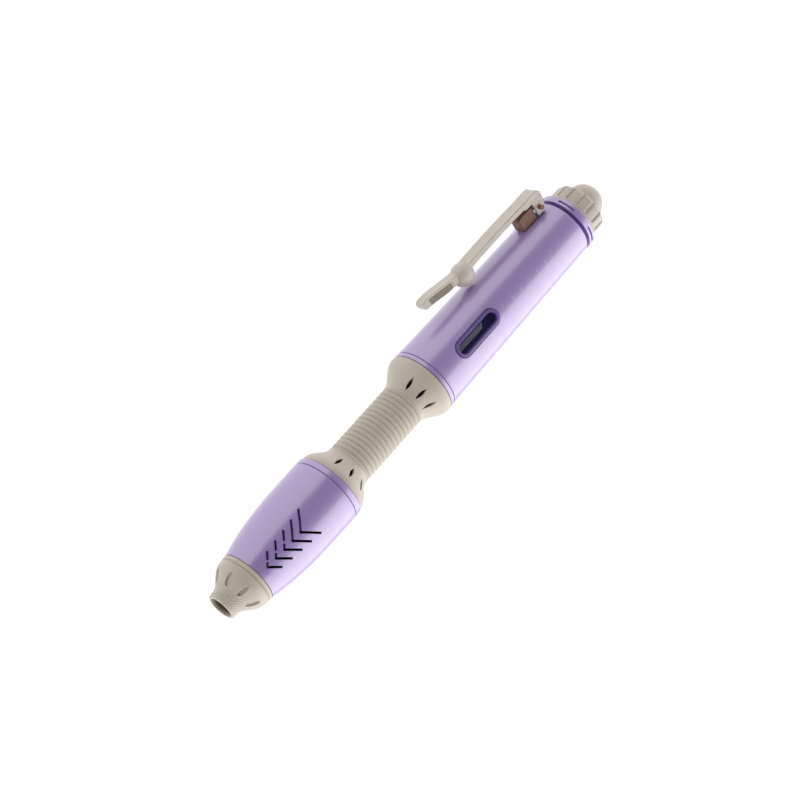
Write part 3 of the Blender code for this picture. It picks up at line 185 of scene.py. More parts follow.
def moulded_finish():
    """Cloud is a slow noise that mixes two shades; grain is a fast one that makes the bump."""
    group = bpy.data.node_groups.new("moulded_finish", "ShaderNodeTree")
    sockets = group.interface
    for name, kind, value in (("Colour", "NodeSocketColor", (0.5, 0.5, 0.5, 1.0)),
                              ("Shade", "NodeSocketColor", (0.4, 0.4, 0.4, 1.0)),
                              ("Cloud Scale", "NodeSocketFloat", 120.0),
                              ("Grain Scale", "NodeSocketFloat", 4000.0),
                              ("Grain Height", "NodeSocketFloat", 0.00002),
                              ("Roughness", "NodeSocketFloat", 0.4)):
        sockets.new_socket(name, in_out="INPUT", socket_type=kind).default_value = value
    for name, kind in (("Colour", "NodeSocketColor"), ("Roughness", "NodeSocketFloat"),
                       ("Normal", "NodeSocketVector")):
        sockets.new_socket(name, in_out="OUTPUT", socket_type=kind)
    nodes, links = group.nodes, group.links
    given, made = nodes.new("NodeGroupInput"), nodes.new("NodeGroupOutput")
    place = nodes.new("ShaderNodeTexCoord")
    cloud, grain = nodes.new("ShaderNodeTexNoise"), nodes.new("ShaderNodeTexNoise")
    cloud.inputs["Detail"].default_value = 3.0
    grain.inputs["Detail"].default_value = 2.0
    links.new(place.outputs["Object"], cloud.inputs["Vector"])
    links.new(place.outputs["Object"], grain.inputs["Vector"])
    links.new(given.outputs["Cloud Scale"], cloud.inputs["Scale"])
    links.new(given.outputs["Grain Scale"], grain.inputs["Scale"])
    blend = nodes.new("ShaderNodeMix")
    blend.data_type = "RGBA"
    links.new(cloud.outputs["Fac"], blend.inputs["Factor"])
    links.new(given.outputs["Colour"], blend.inputs["A"])
    links.new(given.outputs["Shade"], blend.inputs["B"])
    links.new(blend.outputs["Result"], made.inputs["Colour"])
    stir = nodes.new("ShaderNodeMath")
    stir.operation = "MULTIPLY_ADD"
    stir.inputs[1].default_value = ROUGHNESS_STIR
    links.new(grain.outputs["Fac"], stir.inputs[0])
    links.new(given.outputs["Roughness"], stir.inputs[2])
    links.new(stir.outputs["Value"], made.inputs["Roughness"])
    bump = nodes.new("ShaderNodeBump")
    bump.inputs["Strength"].default_value = 0.5
    links.new(grain.outputs["Fac"], bump.inputs["Height"])
    links.new(given.outputs["Grain Height"], bump.inputs["Distance"])
    links.new(bump.outputs["Normal"], made.inputs["Normal"])
    return group


moulded = moulded_finish()


def plastic(name, colour, shade, roughness, grain=4000.0, height=0.00002, cloud=120.0, **plain):
    """A material with the moulded finish; `plain` sets the shader's uniform sockets."""
    made = bpy.data.materials.new(name)
    made.use_nodes = True
    nodes, links = made.node_tree.nodes, made.node_tree.links
    shader = nodes["Principled BSDF"]
    skin = nodes.new("ShaderNodeGroup")
    skin.node_tree = moulded
    skin.inputs["Colour"].default_value = (*colour, 1.0)
    skin.inputs["Shade"].default_value = (*shade, 1.0)
    skin.inputs["Roughness"].default_value = roughness - ROUGHNESS_STIR / 2
    skin.inputs["Cloud Scale"].default_value = cloud
    skin.inputs["Grain Scale"].default_value = grain
    skin.inputs["Grain Height"].default_value = height
    links.new(skin.outputs["Colour"], shader.inputs["Base Color"])
    links.new(skin.outputs["Roughness"], shader.inputs["Roughness"])
    links.new(skin.outputs["Normal"], shader.inputs["Normal"])
    for socket, value in plain.items():
        shader.inputs[socket.replace("_", " ")].default_value = value
    return made


beige = plastic("casing_beige", (0.57, 0.505, 0.43), (0.515, 0.45, 0.38), 0.4, height=0.00003,
                Coat_Weight=0.3, Coat_Roughness=0.25)
# Dark reddish-brown for the clip's base and tongue: painted shade of the strap's shadow.
brown = plastic("brown_plastic", (0.23, 0.095, 0.06), (0.18, 0.07, 0.045), 0.4)
white = plastic("white_plastic", (0.75, 0.75, 0.72), (0.70, 0.70, 0.67), 0.45)
black = plastic("black_plastic", (0.016, 0.016, 0.018), (0.024, 0.022, 0.024), 0.5)
rubber = plastic("black_rubber", (0.012, 0.012, 0.012), (0.02, 0.02, 0.02), 0.7, height=0.00005)
steel = plastic("steel", (0.56, 0.56, 0.57), (0.50, 0.50, 0.52), 0.28, grain=9000.0, height=0.000004,
                Metallic=1.0)


# Turned shells.  Most of the pen is turned about its axis, so a piece is an outline of radii and
# stations whose corners are eased, carried round the axis; its walls close on themselves.
def eased(corners, ease=0.15, steps=5):
    """Each corner becomes a parabola that leaves its two sides `ease` away from it."""
    corners = np.asarray(corners, float)
    before = np.roll(corners, 1, axis=0) - corners
    after = np.roll(corners, -1, axis=0) - corners

    def leave(sides):
        length = np.maximum(np.linalg.norm(sides, axis=1, keepdims=True), 1e-9)
        return corners + sides / length * np.minimum(ease, 0.45 * length)

    start, finish = leave(before)[:, None], leave(after)[:, None]
    step = np.linspace(0.0, 1.0, steps)[None, :, None]
    curve = (1 - step) ** 2 * start + 2 * step * (1 - step) * corners[:, None] + step ** 2 * finish
    return curve.reshape(-1, 2)


def filled(outline, gap):
    """The outline with points added wherever two are further apart than `gap`."""
    ends = np.roll(outline, -1, axis=0)
    lengths = np.linalg.norm(ends - outline, axis=1)
    counts = np.maximum(1, np.ceil(lengths / gap).astype(int))
    starts = np.repeat(outline, counts, axis=0)
    steps = np.repeat((ends - outline) / counts[:, None], counts, axis=0)
    index = np.arange(counts.sum()) - np.repeat(np.cumsum(counts) - counts, counts)
    return starts + steps * index[:, None]


def grid_mesh(name, points, rows_close, caps=False):
    """A surface through a grid of points, closed along each row and, where asked, along the columns or
    with a cap at each end; its faces are turned outwards."""
    rows, columns = points.shape[:2]
    row = np.arange(rows if rows_close else rows - 1)[:, None]
    column = np.arange(columns)[None, :]
    near, far = row * columns, (row + 1) % rows * columns
    beside = (column + 1) % columns
    quads = np.stack(np.broadcast_arrays(near + column, near + beside, far + beside, far + column), axis=-1)
    faces = quads.reshape(-1, 4).tolist()
    if caps:
        faces += [list(range(columns)), list(range((rows - 1) * columns, rows * columns))]
    mesh = bpy.data.meshes.new(name)
    mesh.from_pydata(points.reshape(-1, 3).tolist(), [], faces)
    shell = bmesh.new()
    shell.from_mesh(mesh)
    bmesh.ops.remove_doubles(shell, verts=shell.verts, dist=1e-7)
    bmesh.ops.recalc_face_normals(shell, faces=shell.faces)
    shell.to_mesh(mesh)
    shell.free()
    return mesh


def turned(name, outline, columns=192, relief=None, closed=True):
    """The outline's radius and station at every angle; `relief` presses a pattern into the radii."""
    angle = np.linspace(0.0, math.tau, columns, endpoint=False)[None, :]
    radius = np.repeat(outline[:, :1], columns, axis=1)
    along = np.repeat(outline[:, 1:], columns, axis=1)
    if relief is not None:
        radius = relief(radius, along, angle)
    return grid_mesh(name, on_pen(along, radius * np.cos(angle), radius * np.sin(angle)), closed)


SHARP_ANGLE = math.radians(38)


def piece(name, mesh, material, body, *nodes, slot=None):
    """A finished piece: smooth but for its sharp edges, riding on a body in place of CAD parts."""
    mesh.materials.clear()
    mesh.materials.append(material)
    mesh.shade_smooth()
    mesh.set_sharp_from_angle(angle=SHARP_ANGLE)
    made = bpy.data.objects.new(name, mesh)
    bpy.context.scene.collection.objects.link(made)
    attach(made, body)
    if nodes:
        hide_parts(*nodes)


def dress(node, material):
    """A CAD part that keeps its shape gets its finish."""
    mesh = frame["nodes"][node].data
    mesh.materials.clear()
    mesh.materials.append(material)
    mesh.polygons.foreach_set("material_index", np.zeros(len(mesh.polygons), np.int32))


def smooth(share):
    """Eases a share in and out: 3s^2 - 2s^3."""
    share = np.clip(share, 0.0, 1.0)
    return share * share * (3 - 2 * share)


# Nose cone: a moulded beige cone with a round mouth, that pushes into the casing on a sealed spigot.
# Eight leaf-shaped grips are pressed round its flare, and fine crossed knurling covers its tip.
NOSE_TIP_RADIUS, NOSE_SHOULDER_RADIUS, NOSE_BACK_RADIUS = 3.85, 7.05, 7.2
NOSE_TIP_LENGTH, NOSE_SHOULDER, NOSE_LENGTH = 1.9, 7.6, 9.74
NOSE_RIM_RADIUS, NOSE_RIM_CHAMFER, NOSE_BORE_RADIUS, NOSE_BORE_DEPTH = 3.5, 0.25, 2.95, 5.6
NOSE_INNER_RADIUS, NOSE_SPIGOT_RADIUS = 4.4, 5.7
NOSE_GROOVE, NOSE_GROOVE_STEP, NOSE_GROOVE_DEPTH = (8.35, 8.45, 8.7, 8.8), 0.05, 0.32
NOSE_LEAVES, LEAF_PLACE, LEAF_LENGTH, LEAF_WIDTH, LEAF_DEPTH, LEAF_SLOPE = 8, 4.9, 2.8, 1.35, 0.6, 0.22
LEAF_RIM_HEIGHT, LEAF_RIM_OFFSET, LEAF_RIM_WIDTH = 0.07, 0.12, 0.13
LEAF_RIM_END, LEAF_RIM_FADE, RELIEF_CLEAR, RELIEF_PAST, NOSE_FULLNESS = 1.25, 0.3, 0.4, 0.2, 0.8
KNURLS_ROUND, KNURL_PITCH, KNURL_DEPTH = 30, 0.75, 0.12
KNURL_START, KNURL_RISE, KNURL_END, KNURL_FALL = 0.3, 0.5, 5.6, 2.5
nose_back = span("nose_cone")[1]


def nose_relief(radius, along, angle):
    """Knurls are the product of two crossed waves; a leaf is a hollow with a low rim round it."""
    outside = (radius > NOSE_BORE_RADIUS + RELIEF_CLEAR) & (along < NOSE_SHOULDER + RELIEF_PAST)
    fade = smooth((along - KNURL_START) / KNURL_RISE) * smooth((KNURL_END - along) / KNURL_FALL)
    slant = math.tau * along / (2 * KNURL_PITCH)
    wave = np.sin(KNURLS_ROUND / 2 * angle + slant) * np.sin(KNURLS_ROUND / 2 * angle - slant)
    knurl = -KNURL_DEPTH * (1 - np.abs(wave)) * fade
    turn = (angle - math.radians(FRONT_ANGLE)) * NOSE_LEAVES / math.tau
    across = (turn - np.round(turn)) * math.tau / NOSE_LEAVES * radius
    place = (along - LEAF_PLACE) / (LEAF_LENGTH / 2)
    half = LEAF_WIDTH / 2 * np.sqrt(np.clip(1 - place ** 2, 0.0, 1.0)) + 1e-6
    inside = smooth((half - np.abs(across)) / LEAF_SLOPE) * (np.abs(place) < 1)
    beside = (np.abs(across) - half - LEAF_RIM_OFFSET) / LEAF_RIM_WIDTH
    rim = LEAF_RIM_HEIGHT * np.exp(-(beside ** 2)) * smooth((LEAF_RIM_END - np.abs(place)) / LEAF_RIM_FADE)
    return radius + np.where(outside, knurl * (1 - inside) - LEAF_DEPTH * inside + rim, 0.0)


share = np.linspace(0.0, 1.0, 12)
flare = np.column_stack([
    NOSE_TIP_RADIUS + (NOSE_SHOULDER_RADIUS - NOSE_TIP_RADIUS) * smooth(share) ** NOSE_FULLNESS,
    NOSE_TIP_LENGTH + (NOSE_SHOULDER - NOSE_TIP_LENGTH) * share])
nose_outline = np.vstack([
    [(NOSE_BORE_RADIUS, NOSE_BORE_DEPTH), (NOSE_BORE_RADIUS, 0.0), (NOSE_RIM_RADIUS, 0.0),
     (NOSE_RIM_RADIUS + NOSE_RIM_CHAMFER, NOSE_RIM_CHAMFER)], flare,
    [(NOSE_BACK_RADIUS - NOSE_GROOVE_STEP, NOSE_GROOVE[0]),
     (NOSE_BACK_RADIUS - NOSE_GROOVE_DEPTH, NOSE_GROOVE[1]),
     (NOSE_BACK_RADIUS - NOSE_GROOVE_DEPTH, NOSE_GROOVE[2]), (NOSE_BACK_RADIUS, NOSE_GROOVE[3]),
     (NOSE_BACK_RADIUS, NOSE_LENGTH), (NOSE_SPIGOT_RADIUS, NOSE_LENGTH), (NOSE_SPIGOT_RADIUS, nose_back),
     (NOSE_INNER_RADIUS, nose_back), (NOSE_INNER_RADIUS, NOSE_BORE_DEPTH)]])
nose = turned("nose_shell", filled(eased(nose_outline, ease=0.14), gap=0.1), 432, nose_relief)
piece("nose_shell", nose, beige, "body", "nose_cone", slot="beige_shell")

# Nose liner: a bush that guides the refill, pressed into the nose's bore, with a rubber ring
# behind it that seals the nose in the casing.  The bush is brown; its olive umber is partly painted shade, the
# beige bore in shadow.
BUSH_WALL = 0.4
bush_front, bush_back = span("nose_bush")
bush_radius = reach("nose_bush")
# Olive umber: the bush's brown, lightened to the colour of the beige bore in shade, which is painted shade.
umber = plastic("liner_umber", (0.20, 0.145, 0.105), (0.16, 0.115, 0.08), 0.45)
bush = turned("nose_liner", eased([
    (bush_radius, bush_front), (bush_radius, bush_back), (bush_radius - BUSH_WALL, bush_back),
    (bush_radius - BUSH_WALL, bush_front)], ease=0.12), 96)
piece("nose_liner", bush, umber, "body", "nose_bush", slot="brown_plastic")
dress("nose_seal", rubber)

# Lower casing: a glossy pearl-purple shell that swells from the nose to the waist.  Five chevron
# slots are cut through its front, and the three nearest the nose have a small bridge across one arm.
FLAKE_SCALE, FLAKE_SHARE, FLAKE_COLOUR = 7000.0, 0.12, (0.62, 0.52, 0.85, 1.0)


def pearl_purple(name, colour, shade, roughness):
    """Purple plastic with fine pearl flakes: a cell pattern that lightens and dulls single flakes."""
    made = plastic(name, colour, shade, roughness, grain=2500.0, height=0.000004, cloud=60.0,
                   IOR=2.4, Coat_Weight=1.0, Coat_Roughness=0.09, Coat_IOR=1.5)
    nodes, links = made.node_tree.nodes, made.node_tree.links
    shader, skin = nodes["Principled BSDF"], next(n for n in nodes if n.type == "GROUP")
    place, flakes = nodes.new("ShaderNodeTexCoord"), nodes.new("ShaderNodeTexVoronoi")
    flakes.inputs["Scale"].default_value = FLAKE_SCALE
    links.new(place.outputs["Object"], flakes.inputs["Vector"])
    level = nodes.new("ShaderNodeMapRange")
    level.inputs["To Min"].default_value = 0.0
    level.inputs["To Max"].default_value = FLAKE_SHARE
    links.new(flakes.outputs["Color"], level.inputs["Value"])
    glint = nodes.new("ShaderNodeMix")
    glint.data_type = "RGBA"
    glint.inputs["B"].default_value = FLAKE_COLOUR
    links.new(level.outputs["Result"], glint.inputs["Factor"])
    links.new(skin.outputs["Colour"], glint.inputs["A"])
    links.new(glint.outputs["Result"], shader.inputs["Base Color"])
    return made


def prism(low, high):
    """A cutter between two like outlines, as a closed solid."""
    return grid_mesh("cutter", np.stack([low, high]), False, caps=True)


def wall_cutter(outline, angle, along, inner, outer):
    """A flat outline, across and along the wall, driven straight out through it at an angle."""
    turn = math.radians(angle)
    across = outline[:, 0]
    sides = [on_pen(along + outline[:, 1], radius * math.cos(turn) - across * math.sin(turn),
                    radius * math.sin(turn) + across * math.cos(turn)) for radius in (inner, outer)]
    return prism(*sides)


def cut(mesh, cutters):
    """The mesh less all of the cutters, which don't touch each other."""
    joined = bmesh.new()
    for cutter in cutters:
        joined.from_mesh(cutter)
    tool_mesh = bpy.data.meshes.new("tool")
    joined.to_mesh(tool_mesh)
    joined.free()
    blank, tool = bpy.data.objects.new("blank", mesh), bpy.data.objects.new("tool", tool_mesh)
    for each in (blank, tool):
        bpy.context.scene.collection.objects.link(each)
    boolean = blank.modifiers.new("cut", "BOOLEAN")
    boolean.object = tool
    boolean.operation = "DIFFERENCE"
    boolean.solver = "EXACT"
    result = bpy.data.meshes.new_from_object(blank.evaluated_get(bpy.context.evaluated_depsgraph_get()))
    result.name = mesh.name
    for each in (blank, tool):
        bpy.data.objects.remove(each)
    return result


purple = pearl_purple("pearl_purple", (0.325, 0.205, 0.53), (0.295, 0.185, 0.49), 0.34)
CASING_WIDEST, CASING_CURVE, CASING_WALL = 23.5, 2.7, 1.2
CHEVRONS, CHEVRON_OFFSET, CHEVRON_PITCH, CHEVRON_STROKE = 5, 2.5, 2.75, 0.58
CHEVRON_HALF_WIDTHS, CHEVRON_DEPTHS = (2.6, 3.9), (2.6, 3.7)
BRIDGED, BRIDGE_START, BRIDGE_END = 3, 0.30, 0.42
SLOT_INSIDE, SLOT_OUTSIDE = 3.0, 2.5
casing_front, casing_back = span("lower_casing")
casing_widest_radius = reach("lower_casing")


def casing_radius(along):
    """Full radius, less the nose's step times a power of what is left to the widest place."""
    left = np.maximum(0.0, 1 - (along - casing_front) / CASING_WIDEST)
    return casing_widest_radius - (casing_widest_radius - NOSE_BACK_RADIUS) * left ** CASING_CURVE


def arm(start, end, sign, half, depth, mitred):
    """One arm of a chevron, between two shares of its length, with a mitre where it meets its twin."""
    length = math.hypot(half, depth)
    way = np.array((sign * half, depth)) / length
    across = np.array((-way[1], way[0])) * CHEVRON_STROKE / 2
    a, b = way * length * start, way * length * end
    corners = [a + across, b + across, b - across, a - across]
    if mitred:
        point = CHEVRON_STROKE / 2 * length / half
        corners[0], corners[3] = ((0.0, point * sign), (0.0, -point * sign))
    return np.array(corners)


def chevron(left_arm, right_arm):
    """Both arms as one outline, round by way of the mitre's two ends."""
    return np.array([left_arm[3], *left_arm[2:0:-1], left_arm[0], *right_arm[2:0:-1]])


slots = []
for row in range(CHEVRONS):
    step = row / (CHEVRONS - 1)
    half = CHEVRON_HALF_WIDTHS[0] + (CHEVRON_HALF_WIDTHS[1] - CHEVRON_HALF_WIDTHS[0]) * step
    depth = CHEVRON_DEPTHS[0] + (CHEVRON_DEPTHS[1] - CHEVRON_DEPTHS[0]) * step
    tip = casing_front + CHEVRON_OFFSET + CHEVRON_PITCH * row
    right_end = BRIDGE_START if row < BRIDGED else 1.0
    outlines = [chevron(arm(0.0, 1.0, 1, half, depth, True), arm(0.0, right_end, -1, half, depth, True))]
    if row < BRIDGED:
        outlines.append(arm(BRIDGE_END, 1.0, -1, half, depth, False))
    radius = float(casing_radius(tip))
    slots += [wall_cutter(eased(outline, ease=0.12, steps=4), FRONT_ANGLE, tip, radius - SLOT_INSIDE,
                          radius + SLOT_OUTSIDE) for outline in outlines]
stations = np.linspace(casing_front, casing_back, 60)
wall_stations = stations[::-4]
socket = NOSE_BACK_RADIUS - CASING_WALL
casing_outline = np.vstack([
    np.column_stack([casing_radius(stations), stations]),
    np.column_stack([np.maximum(casing_radius(wall_stations) - CASING_WALL, socket), wall_stations])])
casing = cut(turned("casing_shell", filled(eased(casing_outline, ease=0.1, steps=4), gap=0.6), 224), slots)
piece("casing_shell", casing, purple, "body", "lower_casing", slot="purple_shell")

# Casing collar: a plain purple ring between the casing and the lower flare, with an eased edge on
# each side that leaves a fine seam; a dark violet band in each seam is painted shade.
# Dark violet: painted shade, laid in the seams and in the top ring's groove.
seam_shade_violet = plastic("seam_shade_violet", (0.085, 0.045, 0.25), (0.07, 0.035, 0.21), 0.4)
SEAM_DEPTH, SEAM_FIT = 0.14, 0.01


def seam(name, start, end, radius):
    """A thin dark band of painted shade that closes the joint between two shells, a little under their skins."""
    outer, inner = radius - SEAM_DEPTH, radius - 3 * SEAM_DEPTH
    section = eased([(outer, start), (outer, end), (inner, end), (inner, start)], ease=0.02, steps=3)
    band = turned(name, section, 192)
    piece(name, band, seam_shade_violet, "body", slot="dark_purple")


def collar(name, node, wall):
    """A ring as long as the CAD part and as wide, with a wall of its own."""
    front, back = span(node)
    radius = reach(node)
    ring = turned(name, eased([(radius, front), (radius, back), (radius - wall, back),
                               (radius - wall, front)], ease=0.12), 224)
    piece(name, ring, purple, "body", node, slot="purple_shell")


collar("casing_ring", "casing_collar", CASING_WALL)
seam("casing_seam", casing_back + SEAM_FIT, span("casing_collar")[0] - SEAM_FIT, reach("casing_collar"))

# Lower and upper flare: two beige trumpets that carry the slim waist.  Their mouths plug into the
# shells, and six leaf-shaped openings are cut through each, three at the front and three behind.
NECK_RADIUS, SLEEVE_RADIUS, FLARE_WALL = 5.8, 4.4, 0.8
FLARE_FULLNESS, FLARE_LEAD = 1.12, 0.02
FLARE_LEAF_LENGTH, FLARE_LEAF_WIDTH, FLARE_LEAF_SPACING = 3.2, 0.95, 31.0
LOWER_LEAF_OFFSET, UPPER_LEAF_OFFSET, LEAF_CUT_INSIDE, LEAF_CUT_OUTSIDE = 3.4, 4.75, 0.2, 1.0
FLARE_GAP, LOWER_PLUG_FIT, UPPER_PLUG_FIT, BARREL_BORE_RADIUS = 0.2, 0.4, 0.2, 6.9


def leaf(length, width, steps=12):
    """A pointed oval along y: its half width is a sine of the way along it."""
    way = np.linspace(0.0, 1.0, steps + 1)
    half = width / 2 * np.sin(math.pi * way)
    edge = np.column_stack([half, length * (way - 0.5)])
    return np.vstack([edge, edge[-2:0:-1] * (-1, 1)])


def flare_shell(name, node, wide, narrow, wide_radius, plug_radius, plug_end, leaf_offset):
    """A smooth step from the neck's radius to the wide one, with a plug behind the wide end."""
    way = np.linspace(0.0, 1.0, 28)
    radii = NECK_RADIUS + (wide_radius - NECK_RADIUS) * smooth(FLARE_FULLNESS * (1 - way) - FLARE_LEAD)
    along = wide + (narrow - wide) * way
    inner = np.maximum(radii - FLARE_WALL, SLEEVE_RADIUS)
    outline = np.vstack([[(plug_radius, plug_end), (plug_radius, wide)], np.column_stack([radii, along]),
                         np.column_stack([inner, along])[::-1][:-1],
                         [(plug_radius - FLARE_WALL, wide), (plug_radius - FLARE_WALL, plug_end)]])
    offset = leaf_offset if narrow > wide else -leaf_offset
    shape = leaf(FLARE_LEAF_LENGTH, FLARE_LEAF_WIDTH)
    leaves = [wall_cutter(shape, face + step * FLARE_LEAF_SPACING, wide + offset,
                          SLEEVE_RADIUS + LEAF_CUT_INSIDE, wide_radius + LEAF_CUT_OUTSIDE)
              for face in (FRONT_ANGLE, FRONT_ANGLE + 180) for step in (-1, 0, 1)]
    shell = cut(turned(name, filled(eased(outline, ease=0.08, steps=4), gap=0.5), 192), leaves)
    piece(name, shell, beige, "body", node, slot="beige_shell")


flare_wide, flare_narrow = span("casing_collar")[1] + FLARE_GAP, span("grip_sleeve")[0] - FLARE_GAP
flare_shell("lower_flare_shell", "lower_flare", flare_wide, flare_narrow, reach("lower_flare"),
            casing_widest_radius - CASING_WALL - LOWER_PLUG_FIT, span("lower_flare")[0], LOWER_LEAF_OFFSET)
flare_wide, flare_narrow = span("barrel_collar")[0] - FLARE_GAP, span("grip_sleeve")[1] + FLARE_GAP
flare_shell("upper_flare_shell", "upper_flare", flare_wide, flare_narrow, reach("upper_flare"),
            BARREL_BORE_RADIUS - UPPER_PLUG_FIT, span("upper_flare")[1], UPPER_LEAF_OFFSET)

# Grip: a soft matt sleeve over the waist, with fourteen round ribs that are pressed between narrow
# grooves.
GRIP_RIBS, RIB_DEPTH, RIB_FULLNESS, GRIP_OVERLAP = 14, 0.4, 0.42, 0.17
grip = plastic("grip_rubber", (0.55, 0.49, 0.41), (0.49, 0.43, 0.36), 0.58, grain=5000.0, height=0.00004,
               Sheen_Weight=0.25, Sheen_Roughness=0.5)
grip_front, grip_back = span("grip_sleeve")[0] - GRIP_OVERLAP, span("grip_sleeve")[1] + GRIP_OVERLAP
way = np.linspace(0.0, 1.0, 361)
wave = np.abs(np.cos(math.pi * way * (GRIP_RIBS + 1)))
grip_radii = NECK_RADIUS - RIB_DEPTH * (1 - wave ** RIB_FULLNESS)
grip_outline = np.vstack([
    np.column_stack([grip_radii, grip_front + (grip_back - grip_front) * way]),
    [(SLEEVE_RADIUS, grip_back), (SLEEVE_RADIUS, grip_front)]])
piece("grip_ribs", turned("grip_ribs", grip_outline, 160), grip, "body", "grip_sleeve", slot="beige_grip")

# Core: a dark tube that ties nose, waist and barrel together, drawn tight by a hexagon nut.
core = plastic("core_purple", (0.055, 0.03, 0.13), (0.045, 0.025, 0.11), 0.45)
core_front, core_back = span("core_tube")
core_radius = reach("core_tube")
CORE_WALL = 0.75
core_mesh = turned("core_pipe", eased([(core_radius, core_front), (core_radius, core_back),
                                       (core_radius - CORE_WALL, core_back),
                                       (core_radius - CORE_WALL, core_front)], ease=0.1), 96)
piece("core_pipe", core_mesh, core, "body", "core_tube", slot="dark_purple")
dress("clamp_nut", steel)

# Barrel: the long purple tube, slightly tapered, with a collar at its front, a long round-ended
# window towards the nose and a printed row of plain level marks behind it.
BARREL_TAPER = 0.81
WINDOW_LENGTH, WINDOW_WIDTH, WINDOW_FIT, WINDOW_INSIDE, WINDOW_OUTSIDE = 15.0, 4.5, 0.2, 4.0, 2.0
BARREL_COLLAR_WALL = 1.6
collar("barrel_ring", "barrel_collar", BARREL_COLLAR_WALL)
barrel_front, barrel_back = span("barrel")
barrel_front_radius = reach("barrel")
seam("barrel_seam", span("barrel_collar")[1] + SEAM_FIT, barrel_front - SEAM_FIT, barrel_front_radius)
window_middle = sum(span("window_bezel")) / 2


def barrel_radius(along):
    """A straight taper."""
    return barrel_front_radius - BARREL_TAPER * (along - barrel_front) / (barrel_back - barrel_front)


def racetrack(length, width, steps=24):
    """A slot outline with round ends along y, and its outward normals."""
    turn = np.linspace(0.0, math.tau, 2 * steps, endpoint=False) + math.pi / (2 * steps)
    normal = np.column_stack([np.cos(turn), np.sin(turn)])
    straight = np.sign(normal[:, 1:]) * (0.0, (length - width) / 2)
    return normal * width / 2 + straight, normal


barrel_outline = np.array([(barrel_front_radius, barrel_front), (barrel_radius(barrel_back), barrel_back),
                           (BARREL_BORE_RADIUS, barrel_back), (BARREL_BORE_RADIUS, barrel_front)])
opening = racetrack(WINDOW_LENGTH + 2 * WINDOW_FIT, WINDOW_WIDTH + 2 * WINDOW_FIT)[0]
window_radius = float(barrel_radius(window_middle))
barrel = cut(turned("barrel_shell", filled(eased(barrel_outline), gap=0.8), 224),
             [wall_cutter(opening, FRONT_ANGLE, window_middle, window_radius - WINDOW_INSIDE,
                          window_radius + WINDOW_OUTSIDE)])
piece("barrel_shell", barrel, purple, "body", "barrel", slot="purple_shell")

# Window: a dark violet rim set into the barrel, with a clear lens sunk in it over a navy tray that
# carries a grey level strip, cut slantwise at its end.
rim_violet = plastic("rim_violet", (0.15, 0.095, 0.32), (0.13, 0.08, 0.29), 0.3, Coat_Weight=0.6,
                     Coat_Roughness=0.1)
navy = plastic("ink_navy", (0.016, 0.011, 0.10), (0.022, 0.015, 0.13), 0.5, Specular_IOR_Level=0.1)
strip_grey = plastic("level_grey", (0.46, 0.43, 0.48), (0.40, 0.38, 0.44), 0.45)


def clear(name, colour, shade, alpha):
    """Clear plastic: a faint cloud of two shades, seen through by its alpha."""
    made = plastic(name, colour, shade, 0.12, cloud=300.0, height=0.0)
    made.node_tree.nodes["Principled BSDF"].inputs["Alpha"].default_value = alpha
    return made


lens_clear = clear("lens_clear", (0.02, 0.02, 0.06), (0.03, 0.03, 0.08), 0.2)
glass = clear("refill_clear", (0.75, 0.78, 0.86), (0.65, 0.68, 0.80), 0.35)
BEZEL_WIDTH, BEZEL_RISE, BEZEL_DEPTH = 0.8, 0.2, 1.7
LENS_FIT, LENS_SINK, LENS_THICKNESS, TRAY_GAP, TRAY_THICKNESS = 0.1, 0.45, 0.8, 0.1, 0.3
STRIP_SIDES, STRIP_START, STRIP_END, STRIP_SLANT = (-1.05, 0.35), 1.2, 3.4, 1.2
STRIP_BOTTOM, STRIP_TOP, SPINE_END = -1.33, -1.28, 0.6


def on_wall(outline, height):
    """Points over the barrel's wall at the window: across bends into an angle round the axis."""
    angle = math.radians(FRONT_ANGLE) + outline[..., 0] / window_radius
    radius = window_radius + height
    return on_pen(window_middle + outline[..., 1], radius * np.cos(angle), radius * np.sin(angle))


def wall_plate(name, outline, top, thickness, rings=8):
    """A plate that follows the wall: its outline shrinks to its middle line, above and below."""
    scale = np.concatenate([np.linspace(0.0, 1.0, rings), np.linspace(1.0, 0.0, rings)])
    height = np.concatenate([np.full(rings, top), np.full(rings, top - thickness)])
    spine = outline * (0.0, 1.0)
    spine[:, 1] = np.clip(spine[:, 1], spine[:, 1].min() + SPINE_END, spine[:, 1].max() - SPINE_END)
    rows = spine[None] + (outline - spine)[None] * scale[:, None, None]
    return grid_mesh(name, on_wall(rows, height[:, None]), False)


path, normal = racetrack(WINDOW_LENGTH - BEZEL_WIDTH, WINDOW_WIDTH - BEZEL_WIDTH, 36)
lip = eased([(BEZEL_WIDTH / 2, BEZEL_RISE), (BEZEL_WIDTH / 2, -BEZEL_DEPTH),
             (-BEZEL_WIDTH / 2, -BEZEL_DEPTH), (-BEZEL_WIDTH / 2, BEZEL_RISE)], ease=0.18)
rim_points = path[None] + normal[None] * lip[:, None, :1]
rim = grid_mesh("window_rim", on_wall(rim_points, lip[:, 1:2]), True)
piece("window_rim", rim, rim_violet, "body", "window_bezel", slot="dark_purple")
glass_outline = racetrack(WINDOW_LENGTH - 2 * BEZEL_WIDTH - LENS_FIT,
                          WINDOW_WIDTH - 2 * BEZEL_WIDTH - LENS_FIT)[0]
lens = wall_plate("window_glass", glass_outline, -LENS_SINK, LENS_THICKNESS)
piece("window_glass", lens, lens_clear, "body", "window_lens", slot="clear_plastic")
tray = wall_plate("window_tray", glass_outline, -LENS_SINK - LENS_THICKNESS - TRAY_GAP, TRAY_THICKNESS)
piece("window_tray", tray, navy, "body", slot="ink")
strip_start = -WINDOW_LENGTH / 2 + STRIP_START
